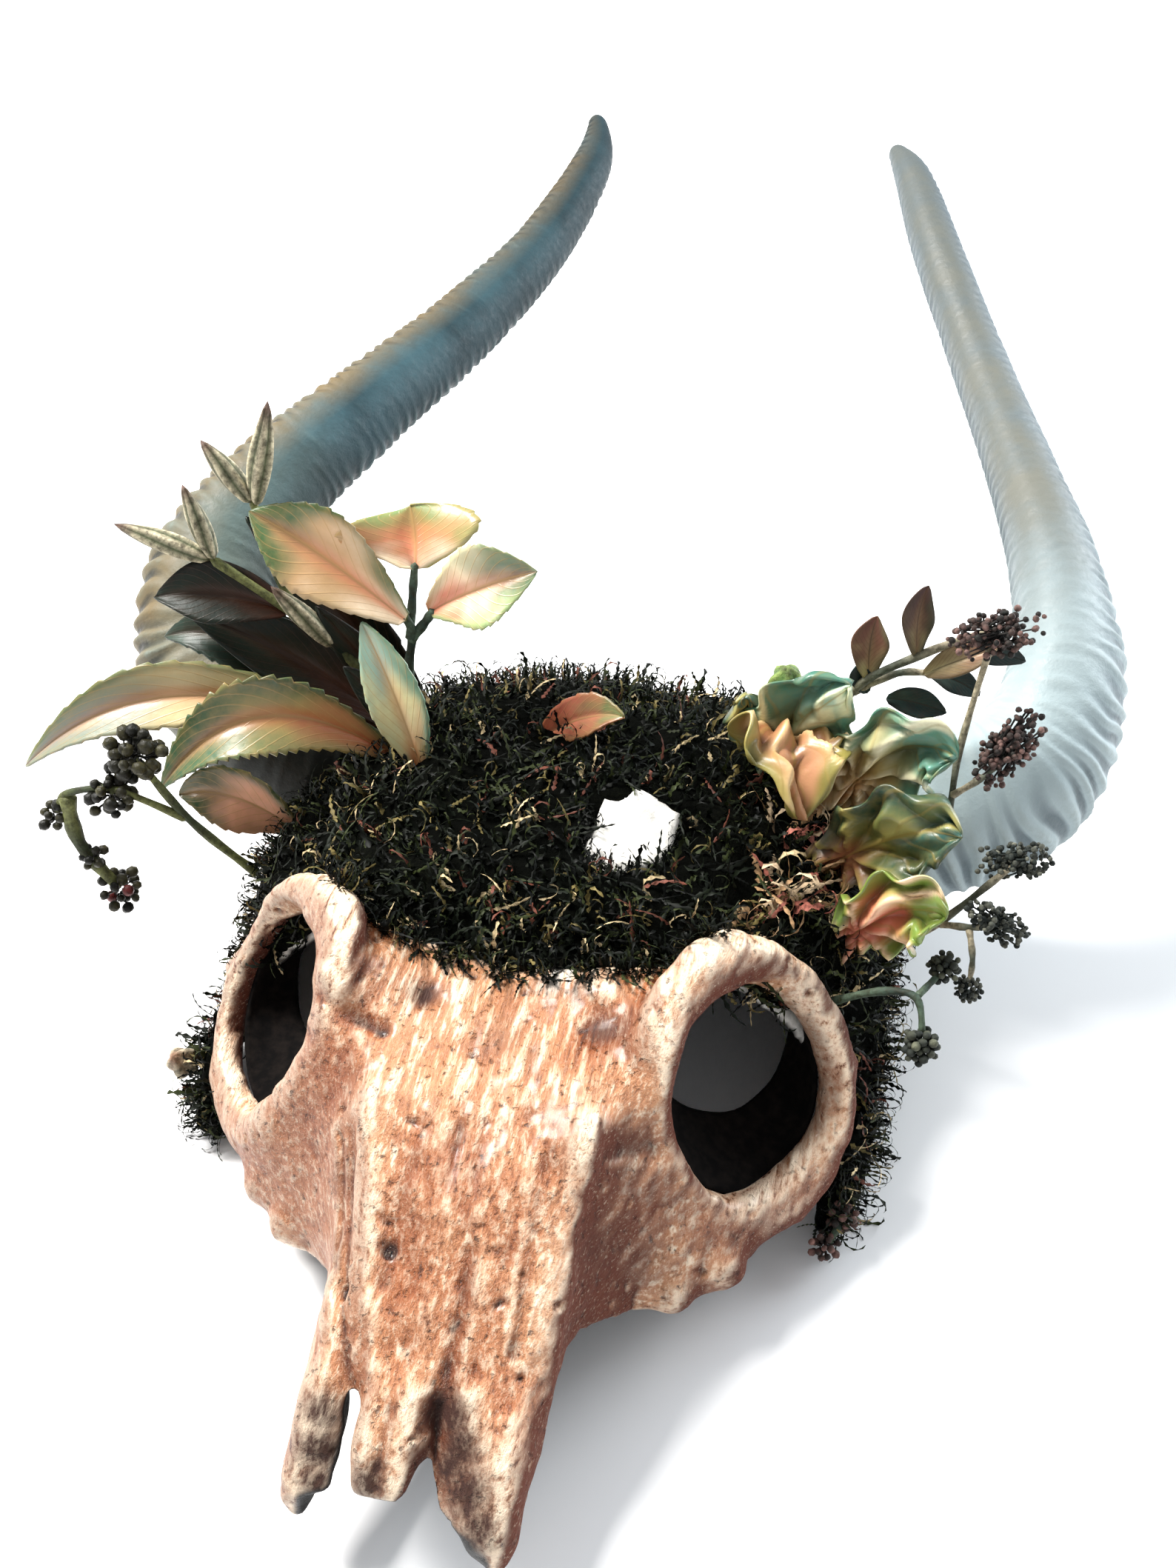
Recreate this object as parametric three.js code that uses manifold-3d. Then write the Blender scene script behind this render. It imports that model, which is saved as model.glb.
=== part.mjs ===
// Horned skull headdress: a hollow bone mask on the front of a moss-covered cap, with a ringed horn on
// each side and sprays of leaves, buds, berries and seed heads round the horn roots.
// Millimetres, +Z up, snout towards -Y. It rests on the rim of the cap.
import * as THREE from "three";
import { ParametricGeometry } from "three/addons/geometries/ParametricGeometry.js";
import { mergeGeometries, mergeVertices } from "three/addons/utils/BufferGeometryUtils.js";
import Module from "manifold-3d";

const wasm = await Module();
wasm.setup();

// Driving dimensions
const SEAT_GAP = 0.4; // clearance between pieces that touch
const CAP_HALF_WIDTH = 95; // outside of the shell at the rim
const CAP_HEIGHT = 83;
const CAP_FRONT_Y = -112; // where the straight sides end, beside the cheeks
const CAP_FRONT_HALF_WIDTH = 88;
const CAP_TURN_Y = -25; // where the straight sides turn into the round back
const CAP_BACK_DEPTH = 87; // from the turn to the back of the rim
const CAP_FRONT_HEIGHT = 68;
const CAP_SQUARENESS = 2.4; // exponent of the cap's rounded arch
const CAP_WALL = 3;
const MOSS_DEPTH = 8;
const MOSS_LUMP = 1.8;
const MOSS_HEM_Z = 2.5; // the moss stops short of the table
const BARE_PATCH = { x: 22, y: -50, radius: 12, depth: 20 };
const SKULL_WALL = 4;
const FOREHEAD_SCOOP = 15; // how far the forehead's edge lies in front of the brows
const BROW_X = 60;
const SOCKET = { x: 66, y: -108, z: 56.5, high: 26.5, wide: 22, lip: 7.5, facing: [0.68, -0.47, 0.56] };
const HORN_RINGS = 15;
const HORN_RING_RISE = 0.05; // share of the horn's thickness
const LEAF_THICK = 1.5;
const LEAF_SHAPE = { start: 0.06, lean: 1.15, roundness: 0.8, edge: 0.6, fold: 0.16 };
const SMALL_LEAF = 12; // leaves narrower than this have a plainer section
const BUD_SHAPE = { start: 0.08, span: 0.88, roundness: 0.8 };
const STEM_SIDES = 5;
const BELOW = -30; // cutters reach this far under the table
const CUT_HIGH = 160; // height of upright cutters
const CUT_WIDE = 400;
const SOCKET_CUT = 70;
const INSIDE_REACH = 30; // the hollow runs out past both ends of the skull
const CAP_STEPS = { across: 14, straight: 4, round: 7 };
const SKULL_STEPS = { across: 22, along: 18 };
const SKULL_INSIDE_STEPS = { across: 12, along: 10 };
const HORN_SIDES = 10;
const FRONT_UP = [0, -0.8, 0.6]; // most small blades look this way
const LIP_STEPS = { section: 6, around: 16 };
const KNOBS = 0.16; // share of a cluster's radius

// Skull sections from brow to snout tip, one half each: crown, ridge, side and lower edge
const SKULL_SECTIONS = [
  { y: -80, crownZ: 77, ridgeX: 40, ridgeZ: 83, sideX: 82, sideZ: 70, edgeX: 97, edgeZ: 42 },
  { y: -100, crownZ: 76, ridgeX: 38, ridgeZ: 77, sideX: 72, sideZ: 60, edgeX: 92, edgeZ: 26 },
  { y: -120, crownZ: 76, ridgeX: 36, ridgeZ: 75, sideX: 60, sideZ: 52, edgeX: 80, edgeZ: 14 },
  { y: -140, crownZ: 76, ridgeX: 31, ridgeZ: 72, sideX: 45, sideZ: 44, edgeX: 64, edgeZ: 10 },
  { y: -155, crownZ: 70, ridgeX: 28.5, ridgeZ: 65, sideX: 36, sideZ: 42, edgeX: 48, edgeZ: 18 },
  { y: -172, crownZ: 60, ridgeX: 27, ridgeZ: 55, sideX: 31, sideZ: 41, edgeX: 33, edgeZ: 29 },
  { y: -191, crownZ: 49, ridgeX: 25, ridgeZ: 45, sideX: 29.5, sideZ: 36, edgeX: 30, edgeZ: 27 },
  { y: -210, crownZ: 38, ridgeX: 23, ridgeZ: 34.5, sideX: 29, sideZ: 27, edgeX: 29, edgeZ: 19 },
  { y: -228, crownZ: 27, ridgeX: 20, ridgeZ: 24, sideX: 25, sideZ: 19, edgeX: 24, edgeZ: 13 },
];
// Swellings (tooth sockets, the knob at the root of the nose) and hollows of the skull, on both sides
const SKULL_RELIEF = [
  { name: "back tooth lump", x: 68, y: -136, z: 17, reach: 8, rise: 4.5 },
  { name: "front tooth lump", x: 55, y: -150, z: 22, reach: 8, rise: 4 },
  { name: "nose knob", x: 29, y: -147, z: 70, reach: 11, rise: 2.5 },
  { name: "brow pit", x: 24, y: -112, z: 75, reach: 7, rise: -3 },
  { name: "corner pit", x: 44, y: -116, z: 72, reach: 8, rise: -2.5 },
];
// Gaps between the snout's prongs and past their tips, in plan
const SNOUT_GAPS = {
  left: [[-18, -202], [-12, -199], [-11.5, -240], [-18, -240], [-18, -222], [-21, -206]],
  right: [[3, -202], [5, -203], [11, -218], [23, -229], [23, -240], [-1, -240], [3, -214]],
  slit: [[-7, -213], [-5.5, -213], [-4, -240], [-6, -240]],
  leftTip: [[-36, -223], [-17, -224], [-17, -240], [-36, -240]],
  middleTip: [[-14, -225.5], [0, -225], [0, -240], [-14, -240]],
};

// Horns from root to tip: centre line with half-breadth and half-thickness
const HORNS = [
  {
    name: "horn_left",
    broadAlong: [0.77, -0.06, -0.64],
    stations: [
      { x: -82, y: 15, z: 50, broad: 28, thin: 25 },
      { x: -110, y: 14, z: 57, broad: 28, thin: 25 },
      { x: -135, y: 25, z: 71, broad: 26, thin: 22 },
      { x: -143, y: 52, z: 92, broad: 22, thin: 18 },
      { x: -131, y: 90, z: 108, broad: 18.5, thin: 14 },
      { x: -113, y: 132, z: 117, broad: 16, thin: 12 },
      { x: -91, y: 190, z: 125, broad: 14, thin: 10.5 },
      { x: -71, y: 250, z: 137, broad: 11.5, thin: 9.5 },
      { x: -60, y: 308, z: 154, broad: 8.5, thin: 7.5 },
      { x: -64, y: 341, z: 164, broad: 3.5, thin: 3 },
    ],
  },
  {
    name: "horn_right",
    broadAlong: [0.36, 0.34, -0.86],
    stations: [
      { x: 82, y: 15, z: 50, broad: 29, thin: 25 },
      { x: 110, y: 13, z: 57, broad: 29, thin: 25 },
      { x: 137, y: 24, z: 69, broad: 28, thin: 22 },
      { x: 147, y: 51, z: 87, broad: 24, thin: 18 },
      { x: 142, y: 95, z: 101, broad: 19, thin: 14.5 },
      { x: 130, y: 145, z: 110, broad: 16, thin: 12 },
      { x: 113, y: 205, z: 122, broad: 14, thin: 10.5 },
      { x: 92, y: 268, z: 142, broad: 11.5, thin: 9.5 },
      { x: 79, y: 315, z: 154, broad: 8.5, thin: 7.5 },
      { x: 69, y: 341, z: 158, broad: 3.5, thin: 3 },
    ],
  },
];

// Single leaves: root at the moss, middle of the rib, tip, full width and the way the face looks
const LEAVES = [
  {
    name: "leaf_long_left", width: 20, face: [0.2, -0.7, 0.7],
    root: [-66, -1, 68], middle: [-128, -24, 121], tip: [-171, -42, 76],
  },
  {
    name: "leaf_serrated_left", width: 24, face: [0, -0.8, 0.6],
    root: [-60, -9, 70], middle: [-98, -27, 118], tip: [-127, -41, 73],
  },
  {
    name: "leaf_upright_left", width: 16, face: [0.3, -0.9, 0.4],
    root: [-46, -27, 80], middle: [-53, -23, 106], tip: [-66, -12, 124],
  },
  {
    name: "leaf_dark_left", width: 17, face: [0, -0.7, 0.7],
    root: [-62, 9, 62], middle: [-106, 0, 117], tip: [-138, 0, 101],
  },
  {
    name: "leaf_dark_back", width: 17, face: [0, -0.7, 0.7],
    root: [-58, 17, 64], middle: [-80, 16, 108], tip: [-110, 14, 140],
  },
  {
    name: "leaf_pink_left", width: 20, face: [-0.2, -0.8, 0.6],
    root: [-90, -23, 44], middle: [-106, -36, 76], tip: [-124, -36, 67],
  },
  {
    name: "leaf_crown", width: 14, face: [0, -0.6, 0.8],
    root: [-14, -8, 84], middle: [0, -8, 99], tip: [14, -14, 102],
  },
  {
    name: "leaf_crinkled_1", width: 32, face: [0.1, 0.14, 0.99],
    root: [58, 1, 72], middle: [63, -14, 125], tip: [70, -36, 90],
  },
  {
    name: "leaf_crinkled_2", width: 28, face: [0.2, -0.9, 0.4],
    root: [75, -7, 66], middle: [94, -12, 111], tip: [110, -22, 108],
  },
  {
    name: "leaf_crinkled_3", width: 27, face: [0.1, -0.8, 0.6],
    root: [74, -28, 58], middle: [96, -40, 100], tip: [114, -44, 98],
  },
  {
    name: "leaf_crinkled_4", width: 22, face: [0.2, -0.8, 0.6],
    root: [82, -50, 50], middle: [99, -60, 91], tip: [112, -62, 84],
  },
];

// Sprigs: stems are routes with a radius, blades are small leaves, buds are spindles and heads are
// clusters of berries or seeds
const SPRIGS = [
  {
    name: "three_leaf_stem",
    colour: 0x7d8f3a,
    stems: [
      { route: [[-55, 2, 78], [-56, -3, 100], [-53, -5, 117], [-55, -6, 124]], radius: 1.1 },
      { route: [[-54, -5, 114], [-53, -2, 128], [-52, 0, 139]], radius: 1 },
      { route: [[-54, -5, 114], [-49, -4, 121], [-46, -4, 126]], radius: 1 },
    ],
    blades: [
      { root: [-54, -7, 123], middle: [-80, -6, 145], tip: [-101, -2, 152], width: 26, face: FRONT_UP },
      { root: [-52, 0, 137], middle: [-53, 5, 147], tip: [-56, 12, 151], width: 42, face: [0, -0.6, 0.8] },
      { root: [-47, -4, 125], middle: [-32, -4, 137], tip: [-14, -4, 143], width: 24, face: FRONT_UP },
    ],
  },
  {
    name: "bud_sprig",
    colour: 0x9c8450,
    stems: [
      { route: [[-64, 8, 76], [-76, 4, 96], [-92, 3, 112], [-119, 2, 132]], radius: 1.3 },
      { route: [[-92, 3, 112], [-98, 3, 130], [-102, 3, 154]], radius: 1 },
    ],
    blades: [
      { root: [-95, 3, 114], middle: [-116, 0, 124], tip: [-137, -3, 118], width: 12.5, face: [0, -0.7, 0.7] },
    ],
    buds: [
      { root: [-118, 2, 131], tip: [-148, 2, 140], radius: 4 },
      { root: [-117, 2, 131], tip: [-124, 4, 155], radius: 3.5 },
      { root: [-98, 3, 131], tip: [-88, -5, 142], radius: 3.5 },
      { root: [-82, 3, 103], tip: [-96, -6, 129], radius: 4 },
      { root: [-102, 3, 152], tip: [-115, 3, 171], radius: 4 },
      { root: [-101, 3, 151], tip: [-92, 2, 186], radius: 4 },
    ],
  },
  {
    name: "berry_sprig",
    colour: 0x6d7a3c,
    stems: [
      { route: [[-97, -44, 44], [-114, -50, 70], [-128, -49, 92]], radius: 1.4 },
      { route: [[-114, -50, 70], [-134, -54, 82], [-151, -54, 78], [-156, -54, 70]], radius: 1.2 },
      { route: [[-151, -54, 78], [-150, -56, 60], [-140, -56, 42]], radius: 2.6 },
    ],
    heads: [
      { at: [-128, -49, 92], radius: 8.7, knobs: KNOBS },
      { at: [-136, -54, 80], radius: 6.6, knobs: KNOBS },
      { at: [-157, -54, 69], radius: 5.7, knobs: KNOBS },
      { at: [-140, -56, 42], radius: 8, knobs: KNOBS },
      { at: [-146, -57, 55], radius: 5, knobs: KNOBS },
    ],
  },
  {
    name: "round_bud",
    colour: 0x8aa04a,
    stems: [{ route: [[58, 10, 76], [60, 6, 96], [60, 2, 110]], radius: 1.2 }],
    heads: [{ at: [60, 2, 111], radius: 5, knobs: 0 }],
  },
  {
    name: "leafy_twig",
    colour: 0x55663a,
    stems: [
      { route: [[74, 12, 72], [79, 8, 104], [98, 8, 121], [119, 10, 132]], radius: 1.1 },
      { route: [[79, 8, 104], [92, 10, 112], [102, 12, 112]], radius: 0.9 },
    ],
    blades: [
      { root: [84, 8, 110], middle: [82, 10, 122], tip: [84, 12, 130], width: 10, face: FRONT_UP },
      { root: [97, 8, 120], middle: [94, 9, 134], tip: [97, 9, 144], width: 8, face: FRONT_UP },
      { root: [106, 8, 125], middle: [118, 11, 124], tip: [128, 12, 120], width: 7, face: FRONT_UP },
      { root: [101, 12, 112], middle: [110, 12, 112], tip: [117, 12, 106], width: 7, face: FRONT_UP },
    ],
  },
  {
    name: "seed_sprig_upper",
    colour: 0x8d8a5c,
    stems: [
      { route: [[96, -16, 44], [110, -26, 78], [112, -12, 104], [116, -3, 136]], radius: 1.1 },
      { route: [[111, -20, 92], [120, -18, 100], [125, -14, 106]], radius: 1 },
    ],
    heads: [
      { at: [116, -3, 138], radius: 9.5, knobs: KNOBS },
      { at: [125, -14, 107], radius: 8.1, knobs: KNOBS },
    ],
  },
  {
    name: "seed_sprig_lower",
    colour: 0x8d8a5c,
    stems: [
      { route: [[99, -36, 40], [112, -46, 66], [124, -44, 82], [131, -36, 84]], radius: 1.1 },
      { route: [[112, -46, 66], [120, -52, 72], [127, -52, 74]], radius: 1 },
      { route: [[120, -52, 72], [122, -58, 66], [122, -62, 60]], radius: 0.9 },
    ],
    heads: [
      { at: [131, -36, 85], radius: 7.4, knobs: KNOBS },
      { at: [127, -52, 75], radius: 6.1, knobs: KNOBS },
      { at: [122, -63, 59], radius: 4.6, knobs: KNOBS },
    ],
  },
  {
    name: "side_sprig",
    colour: 0x7c7a4e,
    stems: [
      { route: [[82, -67, 48], [97, -72, 62], [107, -76, 66], [110, -82, 58]], radius: 1.1 },
      { route: [[107, -76, 66], [113, -66, 66]], radius: 1 },
    ],
    heads: [
      { at: [110, -84, 56], radius: 6, knobs: KNOBS },
      { at: [114, -64, 67], radius: 5.3, knobs: KNOBS },
    ],
  },
  {
    name: "low_seed_cluster",
    colour: 0x9c7862,
    stems: [{ route: [[92, -100, 14], [95, -112, 12], [92, -119, 8]], radius: 1.2 }],
    heads: [
      { at: [95, -112, 12], radius: 5, knobs: KNOBS },
      { at: [91, -120, 8], radius: 4.9, knobs: KNOBS },
    ],
  },
  {
    name: "side_pod",
    colour: 0xb9a98a,
    stems: [{ route: [[-98, -96, 18], [-105, -100, 19]], radius: 1.2 }],
    buds: [{ root: [-104, -98, 13], tip: [-104, -106, 27], radius: 4.5 }],
  },
];

const COLOURS = {
  skull: { color: 0xb98a63, roughness: 0.55, metalness: 0 },
  cap: { color: 0xe9e6df, roughness: 0.7, metalness: 0 },
  moss: { color: 0x2c2f20, roughness: 0.95, metalness: 0 },
  horn: { color: 0x7d8f93, roughness: 0.6, metalness: 0 },
  leaf: { color: 0x8c9a3d, roughness: 0.6, metalness: 0 },
  sprig: { roughness: 0.7, metalness: 0 },
};

const vector = (p) => new THREE.Vector3(...p);

// Solids for joining and cutting
function solidOf(geometry) {
  const bare = new THREE.BufferGeometry();
  bare.setAttribute("position", geometry.getAttribute("position").clone());
  bare.setIndex(geometry.index ? geometry.index.clone() : null);
  const merged = mergeVertices(bare, 1e-4);
  const corners = [];
  for (let i = 0; i < merged.index.count; i += 3) {
    const [a, b, c] = merged.index.array.slice(i, i + 3);
    if (a !== b && b !== c && c !== a) corners.push(a, b, c);
  }
  const build = (triVerts) =>
    new wasm.Manifold(
      new wasm.Mesh({
        numProp: 3,
        vertProperties: new Float32Array(merged.attributes.position.array),
        triVerts: new Uint32Array(triVerts),
      }),
    );
  const solid = build(corners);
  return solid.volume() > 0 ? solid : build(corners.reverse());
}

function geometryOf(solid) {
  const mesh = solid.getMesh();
  const geometry = new THREE.BufferGeometry();
  geometry.setAttribute("position", new THREE.BufferAttribute(new Float32Array(mesh.vertProperties), 3));
  geometry.setIndex(new THREE.BufferAttribute(new Uint32Array(mesh.triVerts), 1));
  geometry.computeVertexNormals();
  return geometry;
}

// Closed tube through rings of points: ringAt(i, t) is point i of the ring at t = 0..1
function tube(ringAt, around, along) {
  const centre = (t) => {
    const sum = new THREE.Vector3();
    for (let i = 0; i < around; i += 1) sum.add(ringAt(i, t));
    return sum.divideScalar(around);
  };
  const layers = along + 2;
  const surface = (u, v, target) => {
    const i = Math.round(u * around) % around;
    const layer = Math.round(v * layers);
    if (layer === 0) target.copy(centre(0));
    else if (layer === layers) target.copy(centre(1));
    else target.copy(ringAt(i, (layer - 1) / along));
  };
  return solidOf(new ParametricGeometry(surface, around, layers));
}

// Solid under an arched surface: pointAt(s, t) runs across the arch and along it, down to the floor
function vault(pointAt, across, along, floorZ) {
  const ringAt = (i, t) => {
    if (i <= across) return pointAt(i / across, t);
    const foot = pointAt(i === across + 1 ? 1 : 0, t);
    return foot.setZ(Math.min(floorZ, foot.z));
  };
  return tube(ringAt, across + 3, along);
}

// Smooth value of every column of a table at t = 0..1
function rowAt(rows, t) {
  const place = THREE.MathUtils.clamp(t, 0, 1) * (rows.length - 1);
  const first = Math.min(Math.floor(place), rows.length - 2);
  const w = place - first;
  const pick = (offset) => rows[THREE.MathUtils.clamp(first + offset, 0, rows.length - 1)];
  const [p, a, b, n] = [pick(-1), pick(0), pick(1), pick(2)];
  const row = {};
  for (const key of Object.keys(a)) {
    const bend = 2 * p[key] - 5 * a[key] + 4 * b[key] - n[key];
    const turn = 3 * a[key] - p[key] - 3 * b[key] + n[key];
    row[key] = a[key] + 0.5 * w * (b[key] - p[key] + w * (bend + w * turn));
  }
  return row;
}

const largestBody = (solid) => solid.decompose().reduce((a, b) => (b.volume() > a.volume() ? b : a));

// Cap: straight sides in front, a rounded back, flat at the rim
function capSolid(grow, floorZ, lumps = 0) {
  const along = CAP_STEPS.straight + CAP_STEPS.round;
  const straight = CAP_STEPS.straight / along;
  const pointAt = (s, t) => {
    const angle = Math.PI * (1 - s);
    const turn = Math.max(0, (t - straight) / (1 - straight)) * (Math.PI / 2);
    const front = Math.max(0, 1 - t / straight);
    const shrink = Math.cos(turn) ** (2 / CAP_SQUARENESS);
    const tall = THREE.MathUtils.lerp(CAP_HEIGHT, CAP_FRONT_HEIGHT, front ** 2);
    const broad = THREE.MathUtils.lerp(CAP_HALF_WIDTH, CAP_FRONT_HALF_WIDTH, front ** 2);
    const bump = lumps * (Math.sin(19 * s + 13 * t) + Math.sin(31 * t - 9 * s)) * shrink;
    const half = (broad + grow + bump) * shrink;
    const high = (tall + grow + bump) * shrink;
    const spanY = (CAP_BACK_DEPTH + grow) * Math.sin(turn) ** (2 / CAP_SQUARENESS);
    const y = turn > 0 ? CAP_TURN_Y + spanY : THREE.MathUtils.lerp(CAP_TURN_Y, CAP_FRONT_Y, front);
    const across = Math.sign(Math.cos(angle)) * Math.abs(Math.cos(angle)) ** (2 / CAP_SQUARENESS);
    const up = Math.abs(Math.sin(angle)) ** (2 / CAP_SQUARENESS);
    return new THREE.Vector3(half * across, y, high * up);
  };
  return vault(pointAt, CAP_STEPS.across, along, floorZ);
}

// How far the skull's surface swells at a point
function reliefAt({ x, y, z }) {
  let rise = 0;
  for (const bump of SKULL_RELIEF) {
    const away = Math.hypot(Math.abs(x) - bump.x, y - bump.y, z - bump.z);
    rise += bump.rise * Math.exp(-((away / bump.reach) ** 2));
  }
  return rise;
}

// Skull surface as a filled arch; grow moves it out, reach lengthens both ends
function skullSolid({ grow, reach, floorZ, relief, steps }) {
  const { across, along } = steps;
  const arches = [];
  for (let step = 0; step <= along; step += 1) {
    const t = step / along;
    const row = rowAt(SKULL_SECTIONS, t);
    const half = [
      [row.ridgeX, row.ridgeZ],
      [row.sideX, row.sideZ],
      [row.edgeX, row.edgeZ],
    ];
    const left = half.map(([x, z]) => new THREE.Vector3(-x, 0, z)).reverse();
    const right = half.map(([x, z]) => new THREE.Vector3(x, 0, z));
    const curve = new THREE.CatmullRomCurve3([...left, new THREE.Vector3(0, 0, row.crownZ), ...right]);
    arches.push({ curve, y: row.y, t });
  }
  const pointAt = (s, t) => {
    const arch = arches[Math.round(t * along)];
    const point = arch.curve.getPoint(s);
    const tangent = arch.curve.getTangent(s);
    point.y = arch.y;
    const out = grow + (relief ? reliefAt(point) : 0);
    point.x -= out * tangent.z;
    point.z += out * tangent.x;
    if (arch.t === 0) point.y += reach;
    if (arch.t === 1) point.y -= reach;
    return point;
  };
  return vault(pointAt, across, along, floorZ);
}

// Everything behind the forehead's curved edge, between the brows
function behindForehead(shift) {
  const outline = new THREE.Shape();
  const steps = 8;
  const edgeY = SKULL_SECTIONS[0].y + shift;
  outline.moveTo(BROW_X, edgeY + FOREHEAD_SCOOP);
  for (let i = 0; i <= steps; i += 1) {
    const across = 1 - (2 * i) / steps;
    outline.lineTo(BROW_X * across, edgeY - FOREHEAD_SCOOP * (1 - across ** 2));
  }
  outline.lineTo(-BROW_X, edgeY + FOREHEAD_SCOOP);
  const cutter = new THREE.ExtrudeGeometry(outline, { depth: CUT_HIGH, bevelEnabled: false });
  return solidOf(cutter.translate(0, 0, BELOW));
}

// Turned so that local Z looks along the eye socket
function socketPlaced(geometry, side) {
  const facing = new THREE.Vector3(side * SOCKET.facing[0], SOCKET.facing[1], SOCKET.facing[2]).normalize();
  const across = new THREE.Vector3(0, 0, 1).cross(facing).normalize();
  const up = facing.clone().cross(across);
  const place = new THREE.Matrix4().makeBasis(across, up, facing);
  place.setPosition(side * SOCKET.x, SOCKET.y, SOCKET.z);
  return solidOf(geometry.applyMatrix4(place));
}

// Ring of bone round an eye socket
function socketLip(lip, side) {
  const ring = new THREE.TorusGeometry(SOCKET.wide + SOCKET.lip, lip, LIP_STEPS.section, LIP_STEPS.around);
  return socketPlaced(ring.scale(1, SOCKET.high / SOCKET.wide, 1), side);
}

function socketHole(side) {
  const hole = new THREE.CylinderGeometry(SOCKET.wide, SOCKET.wide, SOCKET_CUT, LIP_STEPS.around);
  hole.rotateX(Math.PI / 2).scale(1, SOCKET.high / SOCKET.wide, 1);
  return socketPlaced(hole, side);
}

function buildSkull() {
  const outside = { grow: 0, reach: 0, floorZ: Infinity, relief: true, steps: SKULL_STEPS };
  const inside = { grow: -SKULL_WALL, reach: INSIDE_REACH, floorZ: BELOW, relief: false };
  let skull = skullSolid(outside).subtract(skullSolid({ ...inside, steps: SKULL_INSIDE_STEPS }));
  for (const side of [-1, 1]) {
    skull = skull.add(socketLip(SOCKET.lip, side)).subtract(socketHole(side));
  }
  for (const points of Object.values(SNOUT_GAPS)) {
    const outline = new THREE.Shape(points.map(([x, y]) => new THREE.Vector2(x, y)));
    const cutter = new THREE.ExtrudeGeometry(outline, { depth: CUT_HIGH, bevelEnabled: false });
    skull = skull.subtract(solidOf(cutter));
  }
  return largestBody(skull.subtract(behindForehead(0)));
}

// What the skull keeps clear of: its own outside and lips, grown by the seat gap and filled down
function skullRoom() {
  const outside = { grow: SEAT_GAP, reach: SEAT_GAP, floorZ: BELOW, relief: true, steps: SKULL_STEPS };
  let room = skullSolid(outside);
  for (const side of [-1, 1]) room = room.add(socketLip(SOCKET.lip + SEAT_GAP, side));
  return room.subtract(behindForehead(SEAT_GAP));
}

function buildHorn({ stations, broadAlong }, grow) {
  const centre = new THREE.CatmullRomCurve3(stations.map(({ x, y, z }) => new THREE.Vector3(x, y, z)));
  const steps = 2 * HORN_RINGS + 2;
  const ringAt = (i, t) => {
    const place = centre.getUtoTmapping(t);
    const { broad, thin } = rowAt(stations, place);
    const along = centre.getTangent(place);
    const wide = vector(broadAlong).addScaledVector(along, -along.dot(vector(broadAlong))).normalize();
    const flat = along.clone().cross(wide);
    const ridge = 1 + (Math.round(t * steps) % 2 ? HORN_RING_RISE : -HORN_RING_RISE);
    const angle = (i / HORN_SIDES) * 2 * Math.PI;
    const point = centre.getPoint(place);
    point.addScaledVector(wide, (broad * ridge + grow) * Math.cos(angle));
    return point.addScaledVector(flat, (thin * ridge + grow) * Math.sin(angle));
  };
  return tube(ringAt, HORN_SIDES, steps);
}

// Leaf blade: two thin sheets joined at their edges, folded along the rib and pointed at both ends
function leafSolid({ root, middle, tip, width, face }) {
  const rib = new THREE.QuadraticBezierCurve3(vector(root), vector(middle), vector(tip));
  const [across, along] = width < SMALL_LEAF ? [2, 5] : [4, 6];
  const { start, lean, roundness, edge, fold } = LEAF_SHAPE;
  const sheet = (rise) => {
    const surface = (u, v, target) => {
      rib.getPoint(v, target);
      if (v === 0 || v === 1) return;
      const s = 2 * u - 1;
      const heading = rib.getTangent(v);
      const sideways = heading.clone().cross(vector(face)).normalize();
      const up = sideways.clone().cross(heading);
      const swell = Math.sin(Math.PI * THREE.MathUtils.lerp(start, 1, v) ** lean) ** roundness;
      const half = 0.5 * width * swell + edge;
      target.addScaledVector(sideways, half * s);
      target.addScaledVector(up, rise * (1 - s ** 2) + fold * half * s ** 2);
    };
    return new ParametricGeometry(surface, across, along);
  };
  const lower = sheet(-LEAF_THICK / 2);
  lower.index.array.reverse();
  return solidOf(mergeGeometries([sheet(LEAF_THICK / 2), lower]));
}

function stemSolid({ route, radius }) {
  const path = new THREE.CatmullRomCurve3(route.map(vector));
  const ring = [];
  for (let i = 0; i < STEM_SIDES; i += 1) {
    const angle = (i / STEM_SIDES) * 2 * Math.PI;
    ring.push(new THREE.Vector2(radius * Math.cos(angle), radius * Math.sin(angle)));
  }
  const steps = 2 * (route.length - 1);
  return solidOf(new THREE.ExtrudeGeometry(new THREE.Shape(ring), { steps, extrudePath: path }));
}

function budSolid({ root, tip, radius }) {
  const [from, to] = [vector(root), vector(tip)];
  const along = to.clone().sub(from).normalize();
  const sideways = along.clone().cross(new THREE.Vector3(0, 1, 0.3)).normalize();
  const up = along.clone().cross(sideways);
  const { start, span, roundness } = BUD_SHAPE;
  const ringAt = (i, t) => {
    const angle = (i / STEM_SIDES) * 2 * Math.PI;
    const swell = radius * Math.sin(Math.PI * (start + span * t)) ** roundness;
    const point = from.clone().lerp(to, t).addScaledVector(sideways, swell * Math.cos(angle));
    return point.addScaledVector(up, swell * Math.sin(angle));
  };
  return tube(ringAt, STEM_SIDES, 4);
}

// Knobbly head of berries or seeds: the outer form of the cluster, or one plain round bud
function headSolid({ at, radius, knobs }) {
  const head = new THREE.IcosahedronGeometry(radius, 1);
  const points = head.getAttribute("position");
  const point = new THREE.Vector3();
  for (let i = 0; i < points.count && knobs; i += 1) {
    point.fromBufferAttribute(points, i);
    const wave = Math.sin(1.9 * point.x) * Math.sin(1.7 * point.y + 1) * Math.sin(2.1 * point.z + 2);
    point.multiplyScalar(1 + knobs * wave);
    points.setXYZ(i, point.x, point.y, point.z);
  }
  return solidOf(head.translate(...at));
}

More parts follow.
